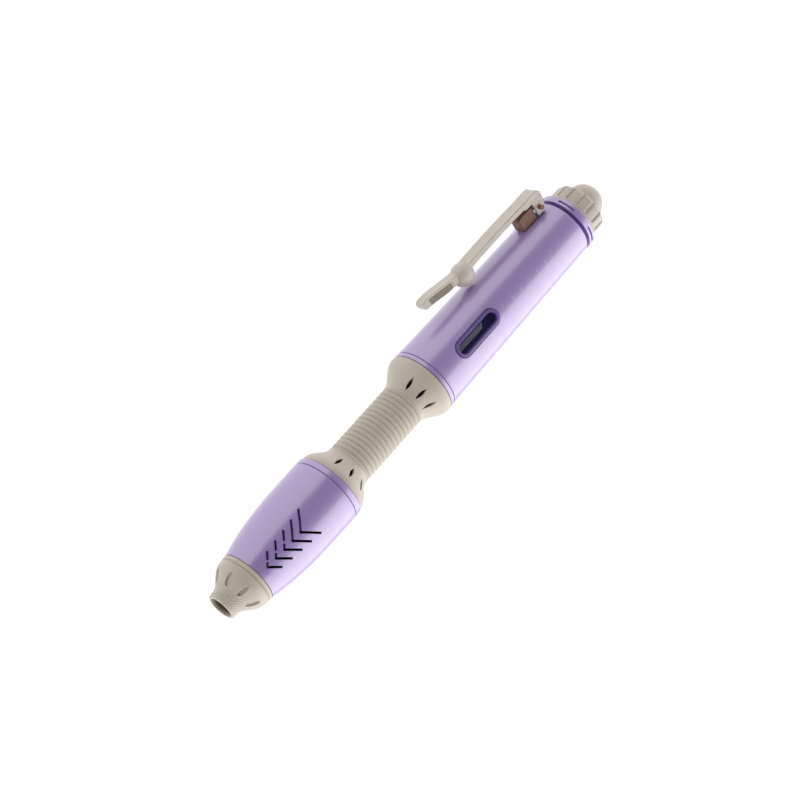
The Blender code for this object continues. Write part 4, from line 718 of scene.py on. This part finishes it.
strip_outline = np.array([(STRIP_SIDES[0], strip_start), (STRIP_SIDES[1], strip_start),
                          (STRIP_SIDES[1], STRIP_END - STRIP_SLANT), (STRIP_SIDES[0], STRIP_END)])
strip_shape = filled(eased(strip_outline), gap=0.3)
strip_low, strip_high = on_wall(strip_shape, STRIP_BOTTOM), on_wall(strip_shape, STRIP_TOP)
piece("level_strip", prism(strip_low, strip_high), strip_grey, "body", slot="clear_plastic")

# Level marks: a row of plain printed ticks along the barrel behind the window, every third longer.
MARKS, MARK_START, MARK_PITCH, MARK_ANGLE, MARK_HEIGHT, MARK_SINK = 7, 99.6, 3.25, 75.0, 0.012, 0.01
LONG_EVERY, LONG_HALF, SHORT_HALF, MARK_HALF_WIDTH = 3, 0.9, 0.55, 0.14
print_lilac = plastic("printed_lilac", (0.55, 0.48, 0.72), (0.50, 0.43, 0.68), 0.35)
marks = bmesh.new()
for tick in range(MARKS):
    half_length = LONG_HALF if tick % LONG_EVERY == 0 else SHORT_HALF
    place = MARK_START + MARK_PITCH * tick
    edge = np.array([(-half_length, -MARK_HALF_WIDTH), (half_length, -MARK_HALF_WIDTH),
                     (half_length, MARK_HALF_WIDTH), (-half_length, MARK_HALF_WIDTH)])
    edge = filled(eased(edge, ease=0.08, steps=3), gap=0.3)
    radius = float(barrel_radius(place))
    turn = math.radians(MARK_ANGLE) + edge[:, 0] / radius
    layers = [on_pen(place + edge[:, 1], level * np.cos(turn), level * np.sin(turn))
              for level in (radius - MARK_SINK, radius + MARK_HEIGHT)]
    marks.from_mesh(prism(*layers))
mark_mesh = bpy.data.meshes.new("level_marks")
marks.to_mesh(mark_mesh)
marks.free()
piece("level_marks", mark_mesh, print_lilac, "body", slot="white_plastic")

# Top ring: closes the barrel behind a narrow groove, darkened by a band of painted shade, with five short slots
# round its edge.
RING_EDGE, RING_GROOVE_DEPTH, RING_SLOTS, RING_SLOT_STEPS, RING_SLOT_OUTSIDE = 0.2, 0.9, 5, 12, 0.6
RING_LENGTH, RING_SLOT_OFFSET, RING_SLOT_LENGTH, RING_SLOT_ANGLE, RING_SLOT_DEPTH = 1.9, 0.85, 0.5, 34.0, 0.8
ring_radius = reach("top_ring")
ring_back = span("top_ring")[1]
ring_front = ring_back - RING_LENGTH
ring_start = span("top_ring")[0]
RING_PLUG_RADIUS, RING_BORE_RADIUS, BUSH_POCKET, RING_SEAT, RING_FLOOR = 6.7, 4.7, 3.7, 0.2, 0.5
BAND_RISE, BAND_SINK, BAND_FRONT, BAND_BACK = 0.25, 0.1, 0.22, 0.02
groove_radius = ring_radius - RING_GROOVE_DEPTH
ring_outline = np.array([
    (RING_PLUG_RADIUS, ring_start), (RING_PLUG_RADIUS, barrel_back + RING_SEAT),
    (groove_radius, barrel_back + RING_SEAT), (groove_radius, ring_front), (ring_radius, ring_front),
    (ring_radius, ring_back), (BUSH_POCKET, ring_back), (BUSH_POCKET, barrel_back + RING_FLOOR),
    (RING_BORE_RADIUS, barrel_back + RING_FLOOR), (RING_BORE_RADIUS, ring_start)])
half_sweep = math.radians(RING_SLOT_ANGLE / 2)
sweep_out = np.linspace(-half_sweep, half_sweep, RING_SLOT_STEPS)
slot_radii = np.repeat([ring_radius + RING_SLOT_OUTSIDE, ring_radius - RING_SLOT_DEPTH], RING_SLOT_STEPS)
slot_turns = np.concatenate([sweep_out, sweep_out[::-1]])
ring_cutters = []
for place in range(RING_SLOTS):
    turn = slot_turns + math.tau * (place + 0.5) / RING_SLOTS
    middle = ring_front + RING_SLOT_OFFSET
    ring_cutters.append(prism(*[on_pen(middle + offset, slot_radii * np.cos(turn), slot_radii * np.sin(turn))
                                for offset in (-RING_SLOT_LENGTH / 2, RING_SLOT_LENGTH / 2)]))
ring_mesh = cut(turned("end_ring", filled(eased(ring_outline, RING_EDGE), gap=0.6), 224), ring_cutters)
piece("end_ring", ring_mesh, purple, "body", "top_ring", slot="purple_shell")
# The dark band in the groove is painted shade.
groove_front, groove_back = barrel_back + BAND_FRONT, ring_front - BAND_BACK
groove = turned("groove_band", eased([
    (groove_radius + BAND_RISE, groove_front), (groove_radius + BAND_RISE, groove_back),
    (groove_radius - BAND_SINK, groove_back), (groove_radius - BAND_SINK, groove_front)], ease=0.05), 192)
piece("groove_band", groove, seam_shade_violet, "body", slot="dark_purple")
dress("spindle_bush", white)

# Twist mechanism: the cam pair, their guide and the return spring, all inside the barrel.
for node, finish in (("guide_sleeve", black), ("cam_follower", white), ("cam_rotor", white),
                     ("return_spring", steel), ("knob_spindle", steel), ("knob_screw", steel)):
    dress(node, finish)

# Knob: a beige collar with fifteen round flutes that run out through its back edge.
KNOB_FLUTES, FLUTE_RADIUS, FLUTE_STANDOFF, FLUTE_START, FLUTE_FADE = 15, 0.62, 0.2, 1.0, 0.25
KNOB_CHAMFER, KNOB_BREAK, KNOB_RIM = 1.0, 0.35, 1.0
KNOB_HUB_RADIUS, KNOB_BORE_RADIUS, KNOB_HUB_LENGTH = 2.7, 3.4, 2.43
knob_front, knob_back = span("knob")
knob_radius = reach("knob")


def knob_relief(radius, along, angle):
    """A flute is a circle that bites into the rim; it fades in past a round start."""
    middle = knob_radius + FLUTE_STANDOFF
    turn = angle * KNOB_FLUTES / math.tau
    away = (turn - np.round(turn)) * math.tau / KNOB_FLUTES
    across = middle * np.sin(away)
    bite = middle * np.cos(away) - np.sqrt(np.clip(FLUTE_RADIUS ** 2 - across ** 2, 0.0, None))
    start = FLUTE_START + FLUTE_RADIUS * (1 - np.sqrt(np.clip(1 - (across / FLUTE_RADIUS) ** 2, 0.0, 1.0)))
    depth = np.clip(radius - bite, 0.0, None) * (np.abs(across) < FLUTE_RADIUS)
    outside = radius > KNOB_BORE_RADIUS + KNOB_RIM
    return radius - depth * smooth((along - knob_front - start) / FLUTE_FADE) * outside


knob_floor = knob_front + KNOB_HUB_LENGTH
knob_outline = np.array([
    (knob_radius, knob_front), (knob_radius, knob_back - KNOB_CHAMFER),
    (knob_radius - KNOB_BREAK * KNOB_CHAMFER, knob_back - KNOB_BREAK * KNOB_CHAMFER),
    (knob_radius - KNOB_CHAMFER, knob_back), (KNOB_BORE_RADIUS, knob_back), (KNOB_BORE_RADIUS, knob_floor),
    (KNOB_HUB_RADIUS, knob_floor), (KNOB_HUB_RADIUS, knob_front)])
knob_mesh = turned("knob_grip", filled(eased(knob_outline, ease=0.2), gap=0.15), 480, knob_relief)
piece("knob_grip", knob_mesh, beige, "twist", "knob", slot="beige_shell")

# Knob cap: a smooth pale dome that plugs the knob over its screw.
CAP_BASE, CAP_EDGE, CAP_STANDOFF, CAP_FIT = 0.4, 0.15, 0.2, 0.2
cap_start, cap_end = span("knob_cap")
cap_radius = reach("knob_cap")
cap_seat = knob_back + CAP_STANDOFF
turn = np.linspace(0.0, math.pi / 2, 24)
dome_height = cap_end - cap_seat - CAP_BASE
dome = np.column_stack([cap_radius * np.cos(turn), cap_seat + CAP_BASE + dome_height * np.sin(turn)])
plug = KNOB_BORE_RADIUS - CAP_FIT
cap_outline = np.vstack([[(0.0, cap_start), (plug, cap_start), (plug, cap_seat),
                          (cap_radius - CAP_EDGE, cap_seat), (cap_radius, cap_seat + CAP_EDGE)], dome])
piece("cap_dome", turned("cap_dome", cap_outline, 128, closed=False), beige, "twist", "knob_cap",
      slot="beige_shell")

# Refill: a clear ink tube with a navy wick, a black holder at its front and a navy fibre nib.
for node, finish in (("ink_cartridge", glass), ("ink_wick", navy), ("cartridge_plug", rubber)):
    dress(node, finish)
nib_front, nib_back = span("nib")
nib_radius = reach("nib")
NIB_POINT = 1.4
point = np.column_stack([nib_radius * np.sin(turn), nib_front + NIB_POINT * (1 - np.cos(turn))])
nib_outline = np.vstack([point, [(nib_radius, nib_back), (0.0, nib_back)]])
fibre = plastic("nib_fibre", (0.012, 0.010, 0.09), (0.03, 0.025, 0.16), 0.8, grain=6000.0, height=0.00008)
piece("nib_point", turned("nib_point", nib_outline, 64, closed=False), fibre, "refill", "nib", slot="ink")
holder_front, holder_back = span("nib_holder")
holder_radius = reach("nib_holder")
HOLDER_CHAMFER, HOLDER_MIDDLE, NIB_FIT = 0.3, 13.4, 0.15
holder_outline = np.array([
    (holder_radius - HOLDER_CHAMFER, holder_front), (holder_radius, holder_front + HOLDER_CHAMFER),
    (holder_radius, HOLDER_MIDDLE), (holder_radius, holder_back), (nib_radius + NIB_FIT, holder_back),
    (nib_radius + NIB_FIT, holder_front)])
nib_socket = turned("nib_socket", eased(holder_outline, ease=0.12), 64)
piece("nib_socket", nib_socket, black, "refill", "nib_holder", slot="black_plastic")

# Clip base: a block that a screw holds against the barrel from inside; its dark reddish-brown is painted
# shade, a beige block in the strap's shadow.  A narrower tongue runs back from it between the clip's cheeks, and
# the pin lies across the tongue.
FLAT_EDGE = 0.05        # a narrow row beside each fillet keeps the flats flat


def slab(name, outline, width, middle=0.0, fillet=0.15, steps=4):
    """A convex side view of distances out and along, carried across the pen; its two faces' edges
    are rounded by drawing the outline in, along its own normals, over a quarter turn."""
    outline = np.asarray(outline, float)
    edge = np.roll(outline, -1, axis=0) - np.roll(outline, 1, axis=0)
    edge /= np.linalg.norm(edge, axis=1, keepdims=True)
    area = np.sum(outline[:, 0] * np.roll(outline[:, 1], -1) - np.roll(outline[:, 0], -1) * outline[:, 1])
    inward = np.column_stack([-edge[:, 1], edge[:, 0]]) * math.copysign(1.0, area)
    turn = np.linspace(0.0, math.pi / 2, steps)
    inset = np.concatenate([[fillet + FLAT_EDGE], (1 - np.sin(turn)) * fillet, [0.0]])
    rounded = width / 2 - fillet + np.cos(turn) * fillet
    side = np.concatenate([[width / 2], rounded, [width / 2 - fillet - FLAT_EDGE]])
    inset, side = np.concatenate([inset, inset[::-1]]), middle + np.concatenate([-side, side[::-1]])
    rows = outline[None] + inward[None] * inset[:, None, None]
    return grid_mesh(name, on_pen(rows[..., 1], rows[..., 0], side[:, None]), False, caps=True)


def bar(name, outer, inner, width, fillet, scoop=None):
    """A bar between two edges of a side view, given as distances out and along.  Each cross section
    is a rectangle from one edge to the other with rounded corners, and both ends are drawn in by
    the same quarter round before they close on their middles.  `scoop` hollows the sides."""
    outer, inner = np.asarray(outer, float), np.asarray(inner, float)
    steps = np.linspace(0.0, 1.0, 6)
    draw_in = 1 - np.sqrt(1 - (1 - steps) ** 2)
    ends, keep = [], np.ones(len(outer), bool)
    for edge in (outer, inner):
        start, finish = edge[1] - edge[0], edge[-1] - edge[-2]
        start, finish = start / np.linalg.norm(start), finish / np.linalg.norm(finish)
        front = edge[0] + start * fillet * steps[:, None]
        back = edge[-1] - finish * fillet * steps[::-1, None]
        for end in (edge[0], edge[-1]):
            keep &= np.linalg.norm(edge - end, axis=1) > 1.05 * fillet
        ends.append((front, back))
    outer, inner = (np.vstack([front[:1], front, edge[keep], back, back[-1:]])
                    for edge, (front, back) in zip((outer, inner), ends))
    drawn = np.concatenate([draw_in[:1], draw_in, np.zeros(keep.sum()), draw_in[::-1], draw_in[:1]]) * fillet
    closing = np.concatenate([[0.0], np.ones(len(drawn) - 2), [0.0]])
    height = np.linalg.norm(inner - outer, axis=1)
    down = (inner - outer) / np.maximum(height, 1e-6)[:, None]
    radius = np.minimum(fillet, 0.45 * height)[:, None]
    turn = np.linspace(0.0, math.pi / 2, 5)
    deep = np.linspace(0.0, 1.0, 17)[1:-1]
    corner, flat = np.ones_like(turn), np.ones(2)
    # One half of the section, from the outer face's middle down one side to the inner face's middle:
    # how far down, as a share of the height and as a share of the fillet, and how far out sideways.
    share = np.concatenate([0 * flat, 0 * corner, deep, corner, flat])
    nudge = np.concatenate([0 * flat, 1 - np.cos(turn), 0 * deep, np.cos(turn[::-1]) - 1, 0 * flat])
    sideways_in = np.concatenate([0 * flat, 1 - np.sin(turn), 0 * deep, 1 - np.sin(turn[::-1]), 0 * flat])
    is_flat = np.concatenate([flat, 0 * corner, 0 * deep, 0 * corner, flat])
    depth = height[:, None] * share + radius * nudge
    side = width / 2 - radius * sideways_in - drawn[:, None]
    side = np.where(is_flat == 1, width / 2 - radius - FLAT_EDGE - drawn[:, None], side)
    side[:, [0, -1]] = 0.0
    depth = np.clip(depth, drawn[:, None], height[:, None] - drawn[:, None])
    if scoop is not None:
        way = np.linspace(0.0, 1.0, len(outer))[:, None]
        side = side - scoop(way, depth / np.maximum(height, 1e-6)[:, None]) * (side > 0) * closing[:, None]
    middle = height[:, None] / 2
    depth = middle + (depth - middle) * closing[:, None]
    side = side * closing[:, None]
    depth = np.hstack([depth, depth[:, -2:0:-1]])
    side = np.hstack([side, -side[:, -2:0:-1]])
    place = outer[:, None] + down[:, None] * depth[..., None]
    return grid_mesh(name, on_pen(place[..., 1], place[..., 0], side), False)


def clip_place(node):
    """A clip part's distances out from the axis: its nearest and farthest."""
    points = np.array([v.co for v in frame["nodes"][node].data.vertices])
    out = (points - (0.0, axis_y, axis_z)) @ outwards / MM
    return float(out.min()), float(out.max())


def pin_bar(radius, reach_side):
    """A round bar across the pen at the clip's pin, as far as `reach_side` each way."""
    turn = np.linspace(0.0, math.tau, 24, endpoint=False)
    along, out = pin_along + radius * np.sin(turn), pin_out + radius * np.cos(turn)
    return prism(on_pen(along, out, -reach_side), on_pen(along, out, reach_side))


BASE_WIDTH, BASE_EDGE, BASE_SETBACK, BASE_RAISED = 3.2, 0.5, 1.1, 0.15
TONGUE_ROOT, TONGUE_DROP, TONGUE_RAISED = 1.0, 0.2, 0.3
CLIP_WIDTH, CHEEK, CHEEK_PROUD, PIN_BLIND, PIN_HOLE, PLAY = 4.0, 0.75, 0.08, 0.35, 0.58, 0.12
pin_place = np.array(joints["clip_flex"]["pos_m"]) - (0.0, axis_y, axis_z)
pin_out = float(pin_place @ outwards) / MM
pin_along = (nose_x - joints["clip_flex"]["pos_m"][0]) / MM
base_front, tongue_back = span("clip_base")
base_front += BASE_SETBACK
base_inner, base_outer = clip_place("clip_base")
FOOT_LENGTH, FOOT_ROOM = 2.6, 0.45      # the room lets the cheeks swing as the clip lifts
base_back = pin_along - FOOT_LENGTH / 2 - FOOT_ROOM
tongue_width = CLIP_WIDTH - 2 * CHEEK - 2 * PLAY
block = slab("clip_block", eased([
    (base_inner + BASE_RAISED, base_front), (base_outer - BASE_EDGE, base_front),
    (base_outer, base_front + BASE_EDGE), (base_outer, base_back),
    (base_inner + BASE_RAISED, base_back)]), BASE_WIDTH)
tongue = slab("clip_tongue", eased([
    (base_inner + TONGUE_RAISED, base_back - TONGUE_ROOT),
    (base_outer - TONGUE_DROP, base_back - TONGUE_ROOT), (base_outer - TONGUE_DROP, tongue_back),
    (base_inner + TONGUE_RAISED, tongue_back)], ease=0.2), tongue_width)
piece("clip_block", block, brown, "body", "clip_base", slot="brown_plastic")
piece("clip_tongue", cut(tongue, [pin_bar(PIN_HOLE, BASE_WIDTH)]), brown, "body", slot="brown_plastic")
dress("clip_screw", steel)
pin_radius = (span("clip_pin")[1] - span("clip_pin")[0]) / 2
piece("clip_pin", pin_bar(pin_radius, CLIP_WIDTH / 2 - PIN_BLIND), steel, "body", "clip_pin", slot="steel")
dress("clip_spring", steel)

# Clip: a flat beige strap, slightly bowed, with a thicker block at its end that straddles the tongue
# on two cheeks, closed behind the tongue by a heel.  It lifts against a small spring round the pin.
clip_beige = plastic("clip_beige", (0.62, 0.56, 0.49), (0.57, 0.51, 0.44), 0.4, height=0.00003,
                     Coat_Weight=0.3, Coat_Roughness=0.25)
CLIP_THICKNESS, CLIP_BOW = 1.5, 0.2
BLOCK_LENGTH, BLOCK_DROP, BLOCK_OVERHANG, BLOCK_ROUND, FOOT_LIFT = 6.6, 0.5, 1.1, 1.5, 0.4
STRAP_FILLET, CHEEK_FILLET, HEEL_FILLET, STRAP_LEAD, END_INSET, HEEL_INSET = 0.22, 0.12, 0.1, 1.0, 0.1, 0.15
ball_front, ball_back = span("clip_ball")
ball_middle = (ball_front + ball_back) / 2
ball_out = sum(clip_place("clip_ball")) / 2
strap_outer = clip_place("clip_strap")[1] - CLIP_BOW
strap_inner = strap_outer - CLIP_THICKNESS
foot_front, foot_back = pin_along - FOOT_LENGTH / 2, pin_along + FOOT_LENGTH / 2
block_back = foot_back + BLOCK_OVERHANG
block_front = block_back - BLOCK_LENGTH
block_inner = strap_inner - BLOCK_DROP
foot_out = float(barrel_radius(pin_along)) + FOOT_LIFT
strap_start = ball_middle + STRAP_LEAD
way = np.linspace(0.0, 1.0, 24)
bow = CLIP_BOW * np.sin(math.pi * way)
strap_along = strap_start + (block_front - strap_start) * way
turn = np.linspace(0.0, math.pi / 2, 9)[:-1]
outer_edge = np.vstack([
    np.column_stack([strap_outer + bow, strap_along]), (strap_outer, block_front + BLOCK_DROP),
    (strap_outer, (block_front + block_back) / 2),
    np.column_stack([strap_outer - BLOCK_ROUND * (1 - np.cos(turn)),
                     block_back - BLOCK_ROUND * (1 - np.sin(turn))])])
inner_edge = np.vstack([
    np.column_stack([strap_inner + bow, strap_along]), (block_inner, block_front + BLOCK_DROP),
    (block_inner, (block_front + block_back) / 2),
    np.column_stack([np.linspace(block_inner, block_inner - BLOCK_DROP, len(turn)),
                     np.linspace(foot_front, block_back - END_INSET, len(turn))])])
strap = bmesh.new()
strap.from_mesh(bar("clip_arm", outer_edge, inner_edge, CLIP_WIDTH, STRAP_FILLET))
cheek_back = [(block_inner + BLOCK_DROP, block_back - END_INSET),
              (block_inner - BLOCK_DROP, block_back - HEEL_INSET), (foot_out, foot_back)]
cheek_edge = eased([(block_inner + BLOCK_DROP, foot_front), *cheek_back, (foot_out, foot_front)])
cheek_offset = (CLIP_WIDTH - CHEEK) / 2 + CHEEK_PROUD
for cheek_middle in (-cheek_offset, cheek_offset):
    strap.from_mesh(slab("cheek", cheek_edge, CHEEK, cheek_middle, CHEEK_FILLET))
heel_front = tongue_back + PLAY
heel_edge = eased([(block_inner + BLOCK_DROP, heel_front), *cheek_back, (foot_out, heel_front)], ease=0.1)
strap.from_mesh(slab("heel", heel_edge, CLIP_WIDTH - CHEEK, fillet=HEEL_FILLET))
strap_mesh = bpy.data.meshes.new("clip_arm")
strap.to_mesh(strap_mesh)
strap.free()
piece("clip_arm", strap_mesh, clip_beige, "clip", "clip_strap", slot="beige_shell")

# Clip ball: the strap's free end grips with a smooth ball that has a fine parting groove where the
# strap runs into it.
BALL_RADIUS, GROOVE_PLACE, GROOVE_DEPTH, GROOVE_WIDTH = 3.0, 1.35, 0.14, 0.16
latitude = np.concatenate([[-math.pi / 2], np.linspace(-1.5, 1.5, 119), [math.pi / 2]])[:, None]
longitude = np.linspace(0.0, math.tau, 96, endpoint=False)[None, :]
groove = np.exp(-(((BALL_RADIUS * np.sin(latitude) - GROOVE_PLACE) / GROOVE_WIDTH) ** 2))
ball_radii = BALL_RADIUS - GROOVE_DEPTH * groove
ball_points = on_pen(ball_middle + ball_radii * np.sin(latitude) * np.ones_like(longitude),
                     ball_out + ball_radii * np.cos(latitude) * np.cos(longitude),
                     ball_radii * np.cos(latitude) * np.sin(longitude))
bead = grid_mesh("clip_bead", ball_points, False)
piece("clip_bead", bead, clip_beige, "clip", "clip_ball", slot="beige_shell")

# Finger tab: the clip's lever beyond the ball.  It rises to a rounded end, and each side is scooped
# out inside a raised rim.
TAB_WIDTH, TAB_LENGTH, TAB_END, TAB_BELLY, TAB_FILLET = 3.0, 14.2, 2.5, 0.45, 0.2
TAB_START, TAB_BEND, TAB_SCOOP = 0.06, 1.6, 0.35
RIM_DEEP, RIM_RAMP, SCOOP_START, START_RAMP, SCOOP_END, END_RAMP = 0.2, 0.08, 0.26, 0.06, 0.96, 0.03
tab_outer = clip_place("clip_tab")[1]
tab_rise = tab_outer - strap_outer
tab_front = ball_middle - TAB_LENGTH
end_radius = TAB_END / 2
way = np.linspace(TAB_START, 1.0, 48)
turn = np.linspace(0.0, math.pi / 2, 10)[1:-1]
round_end = np.column_stack([end_radius * (1 - np.cos(turn)), end_radius * (1 - np.sin(turn))])
dip = tab_outer - TAB_END - strap_inner + TAB_BELLY
along = ball_middle - way * (TAB_LENGTH - end_radius)
outer_edge = np.vstack([np.column_stack([strap_outer + tab_rise * smooth(way), along]),
                        (tab_outer, tab_front) + round_end * (-1, 1)])
inner_edge = np.vstack([np.column_stack([tab_outer - TAB_END - dip * smooth(TAB_BEND * (1 - way)), along]),
                        (tab_outer - TAB_END, tab_front) + round_end])


def tab_scoop(way, deep):
    """How far in a side goes: full inside the rim, by short ramps at the outer edge and both ends."""
    under_rim = smooth((deep - RIM_DEEP) / RIM_RAMP)
    return TAB_SCOOP * under_rim * smooth((way - SCOOP_START) / START_RAMP) * smooth((SCOOP_END - way) / END_RAMP)


tab = bar("clip_lever", outer_edge, inner_edge, TAB_WIDTH, TAB_FILLET, tab_scoop)
piece("clip_lever", tab, clip_beige, "clip", "clip_tab", slot="beige_shell")

# Tab pads: a darker, rougher pad lies in the scoop on each side of the tab; its darker colour is painted
# shade, the shade in the scoop.  The two are one strip through the tab, so only its sides show.
# Darker beige than the tab: painted shade for the scooped sides.
shade_pad_beige = plastic("shade_pad_beige", (0.30, 0.255, 0.20), (0.26, 0.22, 0.17), 0.6)
PAD_START, PAD_END, PAD_TOP, PAD_RISE, PAD_DROP, PAD_FILLET = 0.3, 0.93, 0.27, 0.06, 0.05, 0.08
padded = (way > PAD_START) & (way < PAD_END)
pad_outer, pad_inner = outer_edge[:len(way)][padded], inner_edge[:len(way)][padded]
pad_edge = pad_outer + (pad_inner - pad_outer) * PAD_TOP
pads_width = TAB_WIDTH - 2 * (TAB_SCOOP - PAD_RISE)
pads = bar("tab_shade_pads", pad_edge, pad_inner + (PAD_DROP, 0.0), pads_width, PAD_FILLET)
piece("tab_shade_pads", pads, shade_pad_beige, "clip", slot="beige_shell")
